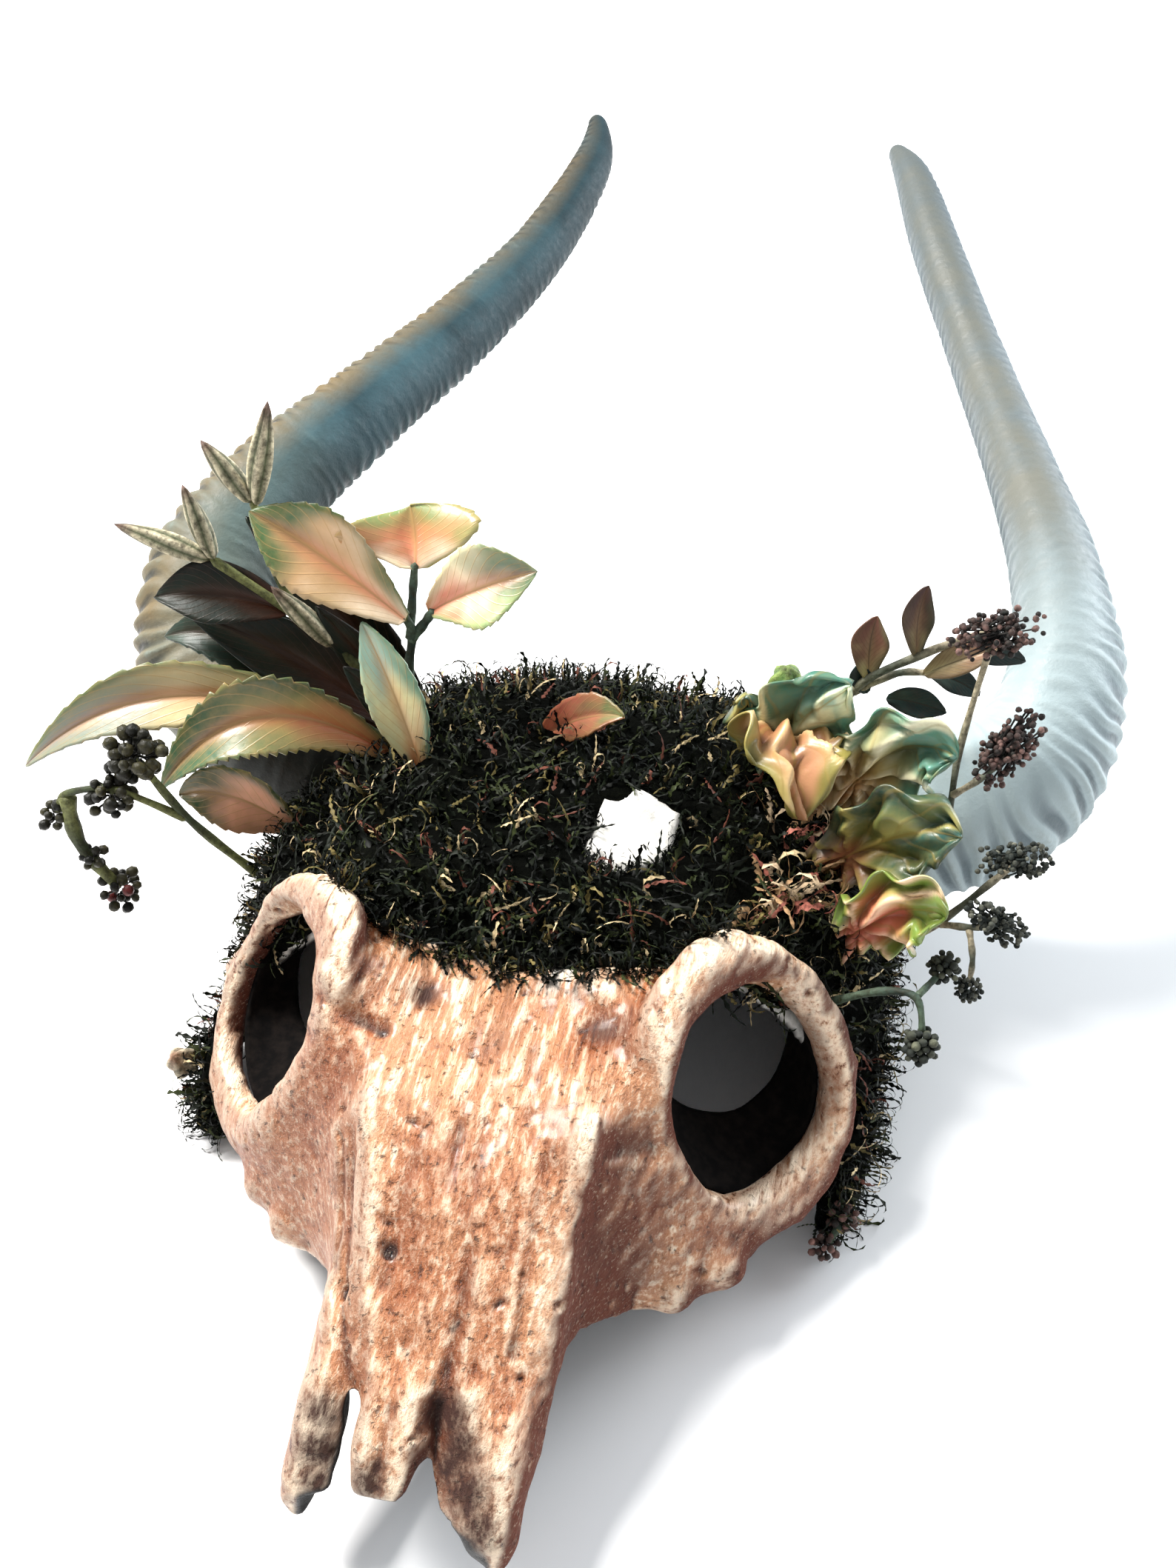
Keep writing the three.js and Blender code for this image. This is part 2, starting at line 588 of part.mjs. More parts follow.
function sprigSolid({ stems = [], blades = [], buds = [], heads = [] }) {
  const pieces = [
    ...stems.map(stemSolid),
    ...blades.map(leafSolid),
    ...buds.map(budSolid),
    ...heads.map(headSolid),
  ];
  return pieces.reduce((whole, piece) => whole.add(piece));
}

const model = new THREE.Group();

function addPiece(name, solid, finish) {
  const mesh = new THREE.Mesh(geometryOf(solid), new THREE.MeshStandardMaterial(finish));
  mesh.name = name;
  model.add(mesh);
}

const room = skullRoom();
const mossOutside = capSolid(MOSS_DEPTH, BELOW, MOSS_LUMP);
const mossGrown = capSolid(MOSS_DEPTH + SEAT_GAP, BELOW, MOSS_LUMP);
addPiece("skull", buildSkull(), COLOURS.skull);

const shell = capSolid(0, Infinity).subtract(capSolid(-CAP_WALL, BELOW)).subtract(room);
addPiece("cap_base", largestBody(shell), COLOURS.cap);

const hem = new THREE.BoxGeometry(CUT_WIDE, CUT_WIDE, CUT_HIGH).translate(0, 0, MOSS_HEM_Z - CUT_HIGH / 2);
const patch = new THREE.CylinderGeometry(BARE_PATCH.radius, BARE_PATCH.radius, CUT_HIGH, 16);
const patchZ = CAP_HEIGHT - BARE_PATCH.depth + CUT_HIGH / 2;
patch.rotateX(Math.PI / 2).translate(BARE_PATCH.x, BARE_PATCH.y, patchZ);
let moss = mossOutside.subtract(capSolid(SEAT_GAP, BELOW)).subtract(room);
moss = moss.subtract(solidOf(hem)).subtract(solidOf(patch));
addPiece("moss_cover", largestBody(moss), COLOURS.moss);

let taken = mossGrown;
for (const horn of HORNS) {
  addPiece(horn.name, largestBody(buildHorn(horn, 0).subtract(mossGrown)), COLOURS.horn);
  taken = taken.add(buildHorn(horn, SEAT_GAP));
}
for (const leaf of LEAVES) {
  addPiece(leaf.name, largestBody(leafSolid(leaf).subtract(taken)), COLOURS.leaf);
}
for (const sprig of SPRIGS) {
  const finish = { color: sprig.colour, ...COLOURS.sprig };
  addPiece(sprig.name, largestBody(sprigSolid(sprig).subtract(taken)), finish);
}

// Origin on the table under the middle of the whole piece
const box = new THREE.Box3().setFromObject(model);
const middle = box.getCenter(new THREE.Vector3());
model.position.set(-middle.x, -middle.y, -box.min.z);

export default model;
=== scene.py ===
import math
import random

import bmesh
import bpy
import numpy as np
from mathutils import Matrix, Vector, noise


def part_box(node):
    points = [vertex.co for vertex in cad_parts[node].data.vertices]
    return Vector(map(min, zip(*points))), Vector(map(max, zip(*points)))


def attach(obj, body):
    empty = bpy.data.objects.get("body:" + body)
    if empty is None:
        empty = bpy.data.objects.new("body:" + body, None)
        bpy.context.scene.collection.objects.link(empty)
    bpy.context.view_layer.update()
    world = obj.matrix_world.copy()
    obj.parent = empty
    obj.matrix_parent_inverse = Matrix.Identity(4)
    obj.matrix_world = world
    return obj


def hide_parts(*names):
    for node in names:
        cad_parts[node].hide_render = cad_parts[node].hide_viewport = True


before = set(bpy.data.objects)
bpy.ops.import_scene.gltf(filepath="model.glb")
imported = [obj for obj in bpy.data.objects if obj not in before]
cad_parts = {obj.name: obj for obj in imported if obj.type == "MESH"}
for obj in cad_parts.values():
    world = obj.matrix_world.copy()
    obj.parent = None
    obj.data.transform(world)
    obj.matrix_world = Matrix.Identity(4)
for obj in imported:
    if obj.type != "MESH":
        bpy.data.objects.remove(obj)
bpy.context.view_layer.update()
scene = bpy.context.scene
mm = 0.001

# The layout's cross line runs under the horn roots; the cap's back rim lies this far behind it
layoutSettings = {"backRim": 62.0}
capLow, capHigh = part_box("cap_base")
layout = Vector(((capLow.x + capHigh.x) / 2, capHigh.y - layoutSettings["backRim"] * mm, 0))


def spot(point):  # layout millimetres to the frame's metres
    return Vector(point) * mm + layout


def tone(red, green, blue):  # a screen colour as the shader's linear values
    return tuple(((c / 255 + 0.055) / 1.055) ** 2.4 if c > 10 else c / 3294.6 for c in (red, green, blue))


def blendTone(a, b, weight):
    weight = min(1.0, max(0.0, weight))
    return tuple(p + (q - p) * weight for p, q in zip(a, b))


def smoothStep(low, high, value):
    w = min(1.0, max(0.0, (value - low) / (high - low)))
    return w * w * (3 - 2 * w)


# Node helpers

def addNode(tree, kind, inputs=None, **fields):
    made = tree.nodes.new(kind)
    for key, value in fields.items():
        setattr(made, key, value)
    for key, value in (inputs or {}).items():
        if isinstance(value, bpy.types.NodeSocket):
            tree.links.new(value, made.inputs[key])
        else:
            made.inputs[key].default_value = value
    return made


def startFinish(name, roughness=0.5, sheen=0.5):
    material = bpy.data.materials.new(name)
    material.use_nodes = True
    tree = material.node_tree
    tree.nodes.clear()
    shader = addNode(tree, "ShaderNodeBsdfPrincipled", {"Roughness": roughness, "Specular IOR Level": sheen})
    addNode(tree, "ShaderNodeOutputMaterial", {"Surface": shader.outputs["BSDF"]})
    return material, tree, shader


def objectCoords(tree, scale=(1, 1, 1)):
    coords = addNode(tree, "ShaderNodeTexCoord")
    return addNode(tree, "ShaderNodeMapping", {"Vector": coords.outputs["Object"], "Scale": scale}).outputs[0]


def noiseField(tree, coords, scale, detail=4.0, roughness=0.55):
    values = {"Vector": coords, "Scale": scale, "Detail": detail, "Roughness": roughness}
    return addNode(tree, "ShaderNodeTexNoise", values).outputs[0]


def attribute(tree, name, output="Fac"):
    return addNode(tree, "ShaderNodeAttribute", attribute_name=name).outputs[output]


def span(tree, value, low, high, toLow=0.0, toHigh=1.0):
    values = {"Value": value, "From Min": low, "From Max": high, "To Min": toLow, "To Max": toHigh}
    return addNode(tree, "ShaderNodeMapRange", values).outputs[0]


def reckon(tree, operation, a, b):
    return addNode(tree, "ShaderNodeMath", {0: a, 1: b}, operation=operation).outputs[0]


def times(tree, a, b):
    return reckon(tree, "MULTIPLY", a, b)


def plus(tree, a, b):
    return reckon(tree, "ADD", a, b)


def mixed(tree, weight, a, b):
    made = addNode(tree, "ShaderNodeMix", {0: weight}, data_type="RGBA")
    for index, value in ((6, a), (7, b)):
        if isinstance(value, bpy.types.NodeSocket):
            tree.links.new(value, made.inputs[index])
        else:
            made.inputs[index].default_value = (*value, 1)
    return made.outputs[2]


def layered(tree, colour, *layers):  # tones laid over each other, each by its own weight
    for weight, over in layers:
        colour = mixed(tree, weight, colour, over)
    return colour


def setColour(tree, shader, colour):
    tree.links.new(colour, shader.inputs["Base Color"])


def bump(tree, shader, height, strength, distance):
    values = {"Height": height, "Strength": strength, "Distance": distance}
    made = addNode(tree, "ShaderNodeBump", values)
    tree.links.new(made.outputs[0], shader.inputs["Normal"])


# Shape helpers

def startShape():
    bm = bmesh.new()
    bm.loops.layers.uv.new("grid")
    bm.verts.layers.float_color.new("tint")
    return bm


def bentGrid(bm, along, across, pointAt, tintAt, finish=0, tube=False):
    verts = bmesh.ops.create_grid(bm, x_segments=across, y_segments=along, size=0.5, calc_uvs=True)["verts"]
    tint = bm.verts.layers.float_color["tint"]
    for vert in verts:
        s, t = vert.co.x + 0.5, vert.co.y + 0.5
        vert[tint] = (*tintAt(s, t), 1)
        vert.co = pointAt(s, t)
    faces = list({face for vert in verts for face in vert.link_faces})
    for face in faces:
        face.material_index = finish
        face.smooth = True
    if tube:
        bmesh.ops.remove_doubles(bm, verts=verts, dist=1e-7)
        bmesh.ops.recalc_face_normals(bm, faces=[face for face in faces if face.is_valid])


def finishPiece(name, mesh, finishes, slot, nodes):
    piece = bpy.data.objects.new(name, mesh)
    scene.collection.objects.link(piece)
    for finish in finishes:
        mesh.materials.append(finish)
    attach(piece, "root")
    if nodes:
        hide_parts(*nodes)
    return piece


def meshFrom(bm, name):
    mesh = bpy.data.meshes.new(name)
    bm.to_mesh(mesh)
    bm.free()
    return mesh


def finishShape(bm, name, finishes, slot, nodes):
    return finishPiece(name, meshFrom(bm, name), finishes, slot, nodes)


def mergedCopy(node):  # a CAD node's loose triangles as one closed mesh
    bm = bmesh.new()
    bm.from_mesh(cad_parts[node].data)
    bmesh.ops.remove_doubles(bm, verts=bm.verts, dist=1e-5)
    return bm


def fineCopy(node, voxel):
    return remeshed(meshFrom(mergedCopy(node), node + "Coarse"), voxel)


def remeshed(mesh, voxel):
    holder = bpy.data.objects.new(mesh.name, mesh)
    scene.collection.objects.link(holder)
    remesh = holder.modifiers.new("voxels", "REMESH")
    remesh.mode = "VOXEL"
    remesh.voxel_size = voxel
    depsgraph = bpy.context.evaluated_depsgraph_get()
    fine = bpy.data.meshes.new_from_object(holder.evaluated_get(depsgraph))
    bpy.data.objects.remove(holder)
    return fine


def pointsOf(mesh):
    flat = np.empty(len(mesh.vertices) * 3)
    mesh.vertices.foreach_get("co", flat)
    return flat.reshape(-1, 3)


def normalsOf(mesh):
    flat = np.empty(len(mesh.vertices) * 3, np.float32)
    mesh.vertex_normals.foreach_get("vector", flat)
    return flat.reshape(-1, 3).astype(float)


def movePoints(mesh, points):
    mesh.vertices.foreach_set("co", points.ravel())
    mesh.update()


def neighbourMean(mesh):
    flat = np.empty(len(mesh.edges) * 2, np.int32)
    mesh.edges.foreach_get("vertices", flat)
    a, b = flat.reshape(-1, 2).T
    count = len(mesh.vertices)
    share = np.maximum(np.bincount(flat, minlength=count), 1)

    def mean(points):
        total = np.empty_like(points)
        for axis in range(points.shape[1]):
            column = points[:, axis]
            total[:, axis] = np.bincount(a, column[b], count) + np.bincount(b, column[a], count)
        return total / share[:, None]

    return mean


def evened(points, mean, rounds):  # smoothing in and out, so that thin walls keep their size
    for step in range(2 * rounds):
        points = points + (0.5 if step % 2 == 0 else -0.52) * (mean(points) - points)
    return points


def storeValues(mesh, name, values):
    made = mesh.attributes.new(name, "FLOAT", "POINT")
    made.data.foreach_set("value", np.asarray(values, np.float32))


def pushed(points, along, amount):  # each point moved by its own amount in millimetres
    return points + along * (amount * mm)[:, None]


def distances(points, place):
    return np.linalg.norm(points - np.array(spot(place)), axis=1)


def layoutY(points):
    return (points[:, 1] - layout.y) / mm


def stepped(low, high, values):
    w = np.clip((values - low) / (high - low), 0, 1)
    return w * w * (3 - 2 * w)


def noiseAt(points, scale, seed):  # smooth noise from -1 to 1 at each point
    stretched = points * np.asarray(scale) + seed
    return np.array([noise.noise(Vector(p)) for p in stretched])


def bezier(root, middle, tip, t):
    point = root * (1 - t) ** 2 + middle * (2 * t * (1 - t)) + tip * t * t
    heading = (middle - root) * (1 - t) + (tip - middle) * t
    return point, heading.normalized()


def alongRows(rows, t):  # smooth values of a table's columns at t = 0..1
    rows = np.asarray(rows, float)
    place = min(1.0, max(0.0, t)) * (len(rows) - 1)
    first = min(int(place), len(rows) - 2)
    w = place - first
    p, a, b, n = (rows[min(len(rows) - 1, max(0, first + k))] for k in (-1, 0, 1, 2))
    return a + 0.5 * w * (b - p + w * (2 * p - 5 * a + 4 * b - n + w * (3 * a - p - 3 * b + n)))


# Camera at the photograph's place, floor and studio light
cameraSettings = {
    "eye": (76.8, -376.4, 384.4),  # layout millimetres
    "right": (0.98, 0.198, -0.002),
    "up": (-0.126, 0.630, 0.766),
    "lens": 35.71,
}


def makeCamera(settings):
    data = bpy.data.cameras.new("photoCamera")
    data.lens = settings["lens"]
    data.sensor_width = 36
    data.clip_start = 0.01
    camera = bpy.data.objects.new("photoCamera", data)
    right = Vector(settings["right"]).normalized()
    up = Vector(settings["up"])
    up = (up - right * up.dot(right)).normalized()
    turn = Matrix((right, up, right.cross(up))).transposed()
    camera.matrix_world = Matrix.Translation(spot(settings["eye"])) @ turn.to_4x4()
    scene.collection.objects.link(camera)
    scene.camera = camera


stageSettings = {
    "floorHalf": 4.0,
    "floorTone": (0.91, 0.91, 0.92),
    "sky": (0.96, 0.98, 1.0),
    "skyPower": 0.58,
    "lamps": [
        # name, place in layout millimetres, size, power, colour
        ("windowLeft", (-1250, 350, 1900), 0.8, 132.0, (1.0, 0.98, 0.95)),
        ("windowRight", (1000, 800, 520), 0.8, 20.0, (0.88, 0.95, 1.0)),
    ],
    "aim": (0, 0, 60),
}


def makeStage(settings):
    bm = bmesh.new()
    bmesh.ops.create_grid(bm, x_segments=1, y_segments=1, size=settings["floorHalf"])
    mesh = meshFrom(bm, "table")
    floor = bpy.data.objects.new("table", mesh)
    scene.collection.objects.link(floor)
    material, tree, shader = startFinish("tableWhite", 0.65)
    mottle = noiseField(tree, objectCoords(tree), 6.0, 3.0)
    white = settings["floorTone"]
    colour = mixed(tree, mottle, tuple(0.97 * c for c in white), white)
    setColour(tree, shader, colour)
    mesh.materials.append(material)
    world = bpy.data.worlds.new("paleRoom")
    world.use_nodes = True
    sky = world.node_tree.nodes["Background"]
    sky.inputs["Color"].default_value = (*settings["sky"], 1)
    sky.inputs["Strength"].default_value = settings["skyPower"]
    scene.world = world
    for name, place, size, power, colour in settings["lamps"]:
        data = bpy.data.lights.new(name, "AREA")
        data.energy, data.size, data.color = power, size, colour
        light = bpy.data.objects.new(name, data)
        light.location = spot(place)
        aim = spot(settings["aim"]) - light.location
        light.rotation_euler = aim.to_track_quat("-Z", "Y").to_euler()
        scene.collection.objects.link(light)
    scene.view_settings.view_transform = "Standard"


makeCamera(cameraSettings)
makeStage(stageSettings)
print("stage: camera, floor and lights made")

# Skull: the CAD solid remeshed, evened and worked over like the painted cast
skullSettings = {
    "coarse": 2.0 * mm,
    "voxel": 0.95 * mm,
    "evenRounds": 8,
    "fillRounds": 300,
    # where the forehead runs on into the snout: place, reach, half-width and its soft edge, rounds of smoothing
    "bridge": (-141.0, 26.0, (27, 19), 220),
    "fillFrom": -190.0,  # the prongs in front of this keep their gaps
    # centre, half-sizes in layout millimetres, tilt: thick rounded ends of the snout, and tooth lumps
    "lumps": [
        ((-24, -206, 31), (6.4, 19, 8), 31),
        ((-9.2, -206, 36), (4.6, 17.5, 6), 31),
        ((-1.4, -206, 36.5), (5.0, 18, 6), 31),
        ((20.5, -207, 29.5), (9, 22, 9), 31),
        ((12, -204, 36), (6.4, 14.5, 6.5), 31),
        ((-25.5, -216, 24), (4.6, 9, 8), 31),
        ((23.5, -218, 23), (5.4, 9.5, 8), 31),
        ((61.5, -138.5, 23), (10.5, 9, 10), 0),
        ((51.5, -149.5, 21.5), (8, 7, 8), 0),
        ((-61, -138.5, 23), (9, 8, 9), 0),
        ((-51.5, -149, 22), (7, 7, 8), 0),
    ],
    "socket": {"at": (66, -108, 56.5), "facing": (0.68, -0.47, 0.56), "wide": 22.0, "high": 26.5},
    "rimThin": (4.5, 235),  # the rims are thinner below and on the left: depth, direction
    "openings": [(1, 0, 3.5), (1, 185, 5.0), (-1, 180, 6.0), (-1, 250, 3.0)],  # side, direction, extra width
    "ramps": [(1, 185), (-1, 0)],  # side, direction in which the rim slopes into the face
    "rampReach": (1.16, 2.0),  # from and to, in half-widths of the socket
    "rampCurve": 1.35,
    "rampSectors": 48,
    "rampDeep": -40.0,  # where a sector has no points
    "rampMost": 16,
    # direction, from, to and strength of the painted shade on the right side of the snout and on the left cheek
    "paintedShades": [((0.94, -0.12, -0.30), 0.2, 0.75, 1.0), ((-0.86, -0.44, 0.24), 0.3, 0.8, 0.62)],
    "dirtAndShadeStrength": {"dirt": 1.0, "stainsAndShade": 0.4},
    # x, y, z, reach of brown: dirt with painted shade in the prong hollows and pits,
    # then of thinner stains, with painted shade in grooves and on the right side of the snout
    "dirt": [
        (-22, -207, 36, 6), (-21, -214, 32, 7), (-20, -220, 29, 5), (8, -204, 40, 7), (10, -214, 35, 8),
        (15, -218, 32, 8), (20, -222, 27, 6), (12, -210, 37, 7), (-7, -219, 32, 5), (-6, -216, 34, 3),
        (-23, -111, 75, 6), (28, -114, 74, 6),
    ],
    "stainsAndShade": [
        (-37, -124, 79, 5), (40, -141, 64, 9), (35, -160, 48, 14), (38, -175, 36, 12), (-31, -158, 59, 9),
        (45, -155, 35, 12), (-23, -112, 76, 12), (28, -116, 75, 12), (2, -120, 77, 13), (-30, -175, 50, 9),
        (51, -149, 24, 6),
    ],
    "axisZ": 18.0,  # swellings push out from a line this high over the table
    # x, y, z, reach, rise in layout millimetres
    "swellings": [
        (-37, -112, 85, 12, 4.2),  # left brow
        (-36, -130, 74, 7, 1.8),
        (-23, -111, 76, 7.0, -3.0),  # left pit and its lip
        (-13, -107, 77, 5.0, 1.8),
        (28, -114, 75, 7.0, -2.8),  # right pit and the knob beside it
        (24, -103, 77, 5.5, 2.6),
        (40, -120, 74, 11, 2.2),
        (12, -98, 77, 9, 1.4),
        (-7, -127, 76, 10, -1.8),
        (-14.5, -174.8, 57.5, 1.7, -2.2),  # single holes
        (-16, -169, 60, 1.5, -1.5),
        (40.5, -152, 36, 2.4, -2.4),
        (47, -158, 27, 2.6, -2.4),
        (56, -146, 24, 3.0, -2.0),  # between the tooth lumps
        (46, -156, 24, 3.0, -2.0),
        (-56, -146, 24, 3.0, -2.0),
        (-46, -156, 24, 3.0, -2.0),
        (29, -146, 72, 6, 1.8),
    ],
    # from, to, width, rise
    "strokes": [
        ((-46, -121, 82), (-30, -125, 77), 2.6, -2.4),  # notch under the left brow
        ((-45, -118, 84), (-41, -134, 66), 3.5, 1.6),
        ((-30, -150, 67), (-25, -182, 50), 2.3, -3.0),  # long grooves left of the snout
        ((-33, -149, 64), (-28, -176, 49), 1.7, -2.2),
        ((-25, -182, 50), (-18, -204, 41), 2.2, -2.2),
        ((6, -172, 58), (7, -205, 41), 2.0, -1.8),
        ((-3, -140, 76), (-2, -160, 65), 1.5, -1.2),
        ((20, -150, 70), (21, -190, 47), 1.5, -1.1),
        ((-27, -143, 74), (-12, -198, 45), 3.6, 1.5),
        ((29, -142, 73), (29.5, -192, 37), 3.2, 1.6),  # sharp right ridge
        ((33, -144, 68), (48, -135, 61), 3.2, -1.8),
        ((3, -146, 72), (2, -190, 50), 2.4, -0.8),
        ((16, -160, 64), (12, -198, 45), 2.0, -0.8),
        ((-12, -148, 71), (-14, -182, 54), 2.2, -0.8),
        ((9, -116, 76), (14, -142, 75), 1.8, -0.8),
        ((-19, -206, 39), (-20, -219, 30), 4.0, -4.0),  # hollows in the prongs
        ((8, -205, 41), (14, -220, 31), 4.4, -4.4),
        ((-5.5, -206, 41), (-6, -221, 32), 1.6, -1.6),
        ((11, -208, 38), (19, -222, 28), 4.5, -3.0),
    ],
    "lump": (58.0, 1.1),  # noise per metre and rise in mm
    "grain": (230.0, 0.26),
    "brush": ((290.0, 46.0, 290.0), 0.36),
    "pits": (330.0, 0.8),
    "smoothing": 10,
    "wideSmoothing": 60,
}


# Distance from a socket's axis in its own half-widths, height over it, angle round it, and the axis
def socketReach(points, socket, side):
    x, y, z = socket["at"]
    facing = np.array(socket["facing"]) * (side, 1, 1)
    facing /= np.linalg.norm(facing)
    across = np.cross((0, 0, 1), facing)
    across /= np.linalg.norm(across)
    up = np.cross(facing, across)
    local = (points - np.array(spot((side * x, y, z)))) / mm
    a, b = local @ across / socket["wide"], local @ up / socket["high"]
    return np.hypot(a, b), local @ facing, np.arctan2(b, a), facing


def filledCreases(mesh, points, mean, weight, rounds):  # hollow corners fill up, as in a modelled cast
    for step in range(rounds):
        if step % 6 == 0:
            movePoints(mesh, points)
            normals = normalsOf(mesh)
        lift = ((mean(points) - points) * normals).sum(1)
        points = points + normals * (np.clip(lift, 0, None) * weight * 0.9)[:, None]
    return points


def skullRelief(settings, points, outward):
    rise = np.zeros(len(points))
    for x, y, z, reach, high in settings["swellings"]:
        rise += high * np.exp(-(distances(points, (x, y, z)) / (reach * mm)) ** 2)
    wander = 0.9 * mm * noiseAt(points, 120.0, 9.0)
    for start, end, width, high in settings["strokes"]:
        a, b = np.array(spot(start)), np.array(spot(end))
        line = b - a
        share = np.clip((points - a) @ line / (line @ line), 0, 1)
        away = np.linalg.norm(points - (a + share[:, None] * line), axis=1) + wander
        rise += high * np.exp(-((away / (width * mm)) ** 2))
    return pushed(points, outward, rise)


def skullOutward(settings, points):
    outward = (points - np.array((layout.x, 0, settings["axisZ"] * mm))) * (1, 0, 1)
    return outward / np.linalg.norm(outward, axis=1)[:, None]


def widenedSockets(settings, points):  # rims get thinner where the openings are wide
    for side, degrees, wider in settings["openings"]:
        x, y, z = settings["socket"]["at"]
        reach, height, turn, axis = socketReach(points, settings["socket"], side)
        radial = points - np.array(spot((side * x, y, z))) - (height * mm)[:, None] * axis
        radial /= np.maximum(np.linalg.norm(radial, axis=1), 1e-6)[:, None]
        weight = stepped(0.1, 0.9, np.cos(turn - math.radians(degrees))) * stepped(1.45, 1.05, reach)
        weight *= stepped(0.5, 0.8, reach) * stepped(-28, -14, height)
        points = pushed(points, radial, weight * wider)
    return points


def rampedBrows(settings, points, normals):  # rims slope into the forehead and the cheek without a groove
    first, last = settings["rampReach"]
    sectors, deep = settings["rampSectors"], settings["rampDeep"]
    middles = (np.arange(sectors) + 0.5) / sectors * 2 * math.pi - math.pi
    facing = (normals * skullOutward(settings, points)).sum(1)
    for side, degrees in settings["ramps"]:
        reach, height, turn, axis = socketReach(points, settings["socket"], side)
        outer = (normals @ axis > -0.3) & (facing > -0.35) & (height > -50)
        sector = ((turn + math.pi) / (2 * math.pi) * sectors).astype(int) % sectors
        crest, base = [], []
        for index in range(sectors):
            here = outer & (sector == index)
            rim = height[here & (reach > 1.0) & (reach < 1.45)]
            far = height[here & (np.abs(reach - last) < 0.1)]
            crest.append(np.percentile(rim, 95) if len(rim) else deep)
            base.append(np.percentile(far, 70) if len(far) else deep)
        for row in (crest, base):  # each sector is levelled with two on either side
            row[:] = [sum(row[(k + step) % sectors] for step in range(-2, 3)) / 5 for k in range(sectors)]
        crest, base = (np.interp(turn, middles, row, period=2 * math.pi) for row in (crest, base))
        share = np.clip((reach - first) / (last - first), 0, 1)
        ramp = base + (crest - base) * (1 - share) ** settings["rampCurve"]
        weight = stepped(0.0, 0.5, np.cos(turn - math.radians(degrees))) * outer
        weight = weight * stepped(1.1, 1.2, reach) * stepped(last + 0.05, last - 0.1, reach)
        points = pushed(points, axis, np.clip(ramp - height, 0, settings["rampMost"]) * weight)
    return points


def skullForm(settings):  # the solid with thicker prongs, its corners filled round the eye rims
    bm = mergedCopy("skull")
    for centre, halves, tilt in settings["lumps"]:
        turn = Matrix.Rotation(math.radians(tilt), 4, "X")
        size = Matrix.Diagonal((*(half * mm for half in halves), 1))
        matrix = Matrix.Translation(spot(centre)) @ turn @ size
        bmesh.ops.create_uvsphere(bm, u_segments=24, v_segments=16, radius=1, matrix=matrix)
    mesh = remeshed(meshFrom(bm, "skullWhole"), settings["coarse"])
    mean = neighbourMean(mesh)
    points = evened(pointsOf(mesh), mean, settings["evenRounds"])
    thinner, degrees = settings["rimThin"]
    for side in (-1, 1):
        reach, height, turn, axis = socketReach(points, settings["socket"], side)
        low = stepped(-0.2, 0.7, np.cos(turn - math.radians(degrees)))
        thin = low * stepped(0.95, 1.2, reach) * stepped(1.95, 1.5, reach) * stepped(-9, -2, height)
        points = points - thin[:, None] * axis * (thinner * mm)
    movePoints(mesh, points)
    points = widenedSockets(settings, rampedBrows(settings, points, normalsOf(mesh)))
    movePoints(mesh, points)
    mesh = remeshed(mesh, settings["coarse"])
    mean = neighbourMean(mesh)
    points = evened(pointsOf(mesh), mean, settings["evenRounds"])
    movePoints(mesh, points)
    near = np.minimum(*(socketReach(points, settings["socket"], side)[0] for side in (-1, 1)))
    facing = (normalsOf(mesh) * skullOutward(settings, points)).sum(1)
    weight = stepped(1.2, 1.36, near) * (facing > -0.35)
    weight = weight * stepped(-4, 4, layoutY(points) - settings["fillFrom"])
    points = filledCreases(mesh, points, mean, weight, settings["fillRounds"])
    place, reach, halfWidth, rounds = settings["bridge"]
    ahead, aside = np.abs(layoutY(points) - place), np.abs((points[:, 0] - layout.x) / mm)
    weight = stepped(reach, 0.3 * reach, ahead) * stepped(*halfWidth, aside) * (facing > 0.2)
    for step in range(rounds):
        points = points + (mean(points) - points) * weight[:, None] * 0.8
    movePoints(mesh, points)
    return remeshed(mesh, settings["voxel"])


def makeSkull(settings):
    mesh = skullForm(settings)
    mean = neighbourMean(mesh)
    points = evened(pointsOf(mesh), mean, settings["evenRounds"])
    movePoints(mesh, points)
    outward = skullOutward(settings, points)
    sockets = [socketReach(points, settings["socket"], side) for side in (-1, 1)]
    points = skullRelief(settings, points, outward)
    movePoints(mesh, points)
    normals = normalsOf(mesh)
    # inward-facing surfaces, later painted near-black as painted shade for the dark hollow behind the sockets
    inside = np.clip(-(normals * outward).sum(1) * 4, 0, 1)
    for reach, height, turn, axis in sockets:
        inside *= 1 - stepped(1.9, 1.6, reach) * stepped(-9, -5, height)
    relief = 0
    for index, kind in enumerate(("lump", "grain", "brush")):
        scale, high = settings[kind]
        relief = relief + high * noiseAt(points, scale, 3.0 + index)
    scale, depth = settings["pits"]
    relief -= depth * np.clip(noiseAt(points, scale, 11.0) - 0.5, 0, 1) * 4
    points = pushed(points, normals, relief)
    movePoints(mesh, points)
    normals = normalsOf(mesh)
    soft, wide = points, points
    for step in range(settings["wideSmoothing"]):
        wide = mean(wide)
        if step + 1 == settings["smoothing"]:
            soft = wide
    storeValues(mesh, "recess", ((soft - points) * normals).sum(1) / mm)
    storeValues(mesh, "hollow", ((wide - points) * normals).sum(1) / mm)
    storeValues(mesh, "inside", inside)
    # painted shade on the right side of the snout and on the left cheek, by the way each point faces
    sides = [most * stepped(low, high, normals @ np.array(facing)) for facing, low, high, most in settings["paintedShades"]]
    storeValues(mesh, "shade", np.maximum(*sides))
    # dirt and stains, with painted shade in the prong hollows, pits and grooves
    dirt = np.zeros(len(points))
    for kind, strength in settings["dirtAndShadeStrength"].items():
        for x, y, z, reach in settings[kind]:
            away = distances(points, (x, y, z)) / (reach * mm)
            dirt = np.maximum(dirt, strength * np.exp(-away**2))
    storeValues(mesh, "dirt", dirt)
    mesh.shade_smooth()
    return mesh


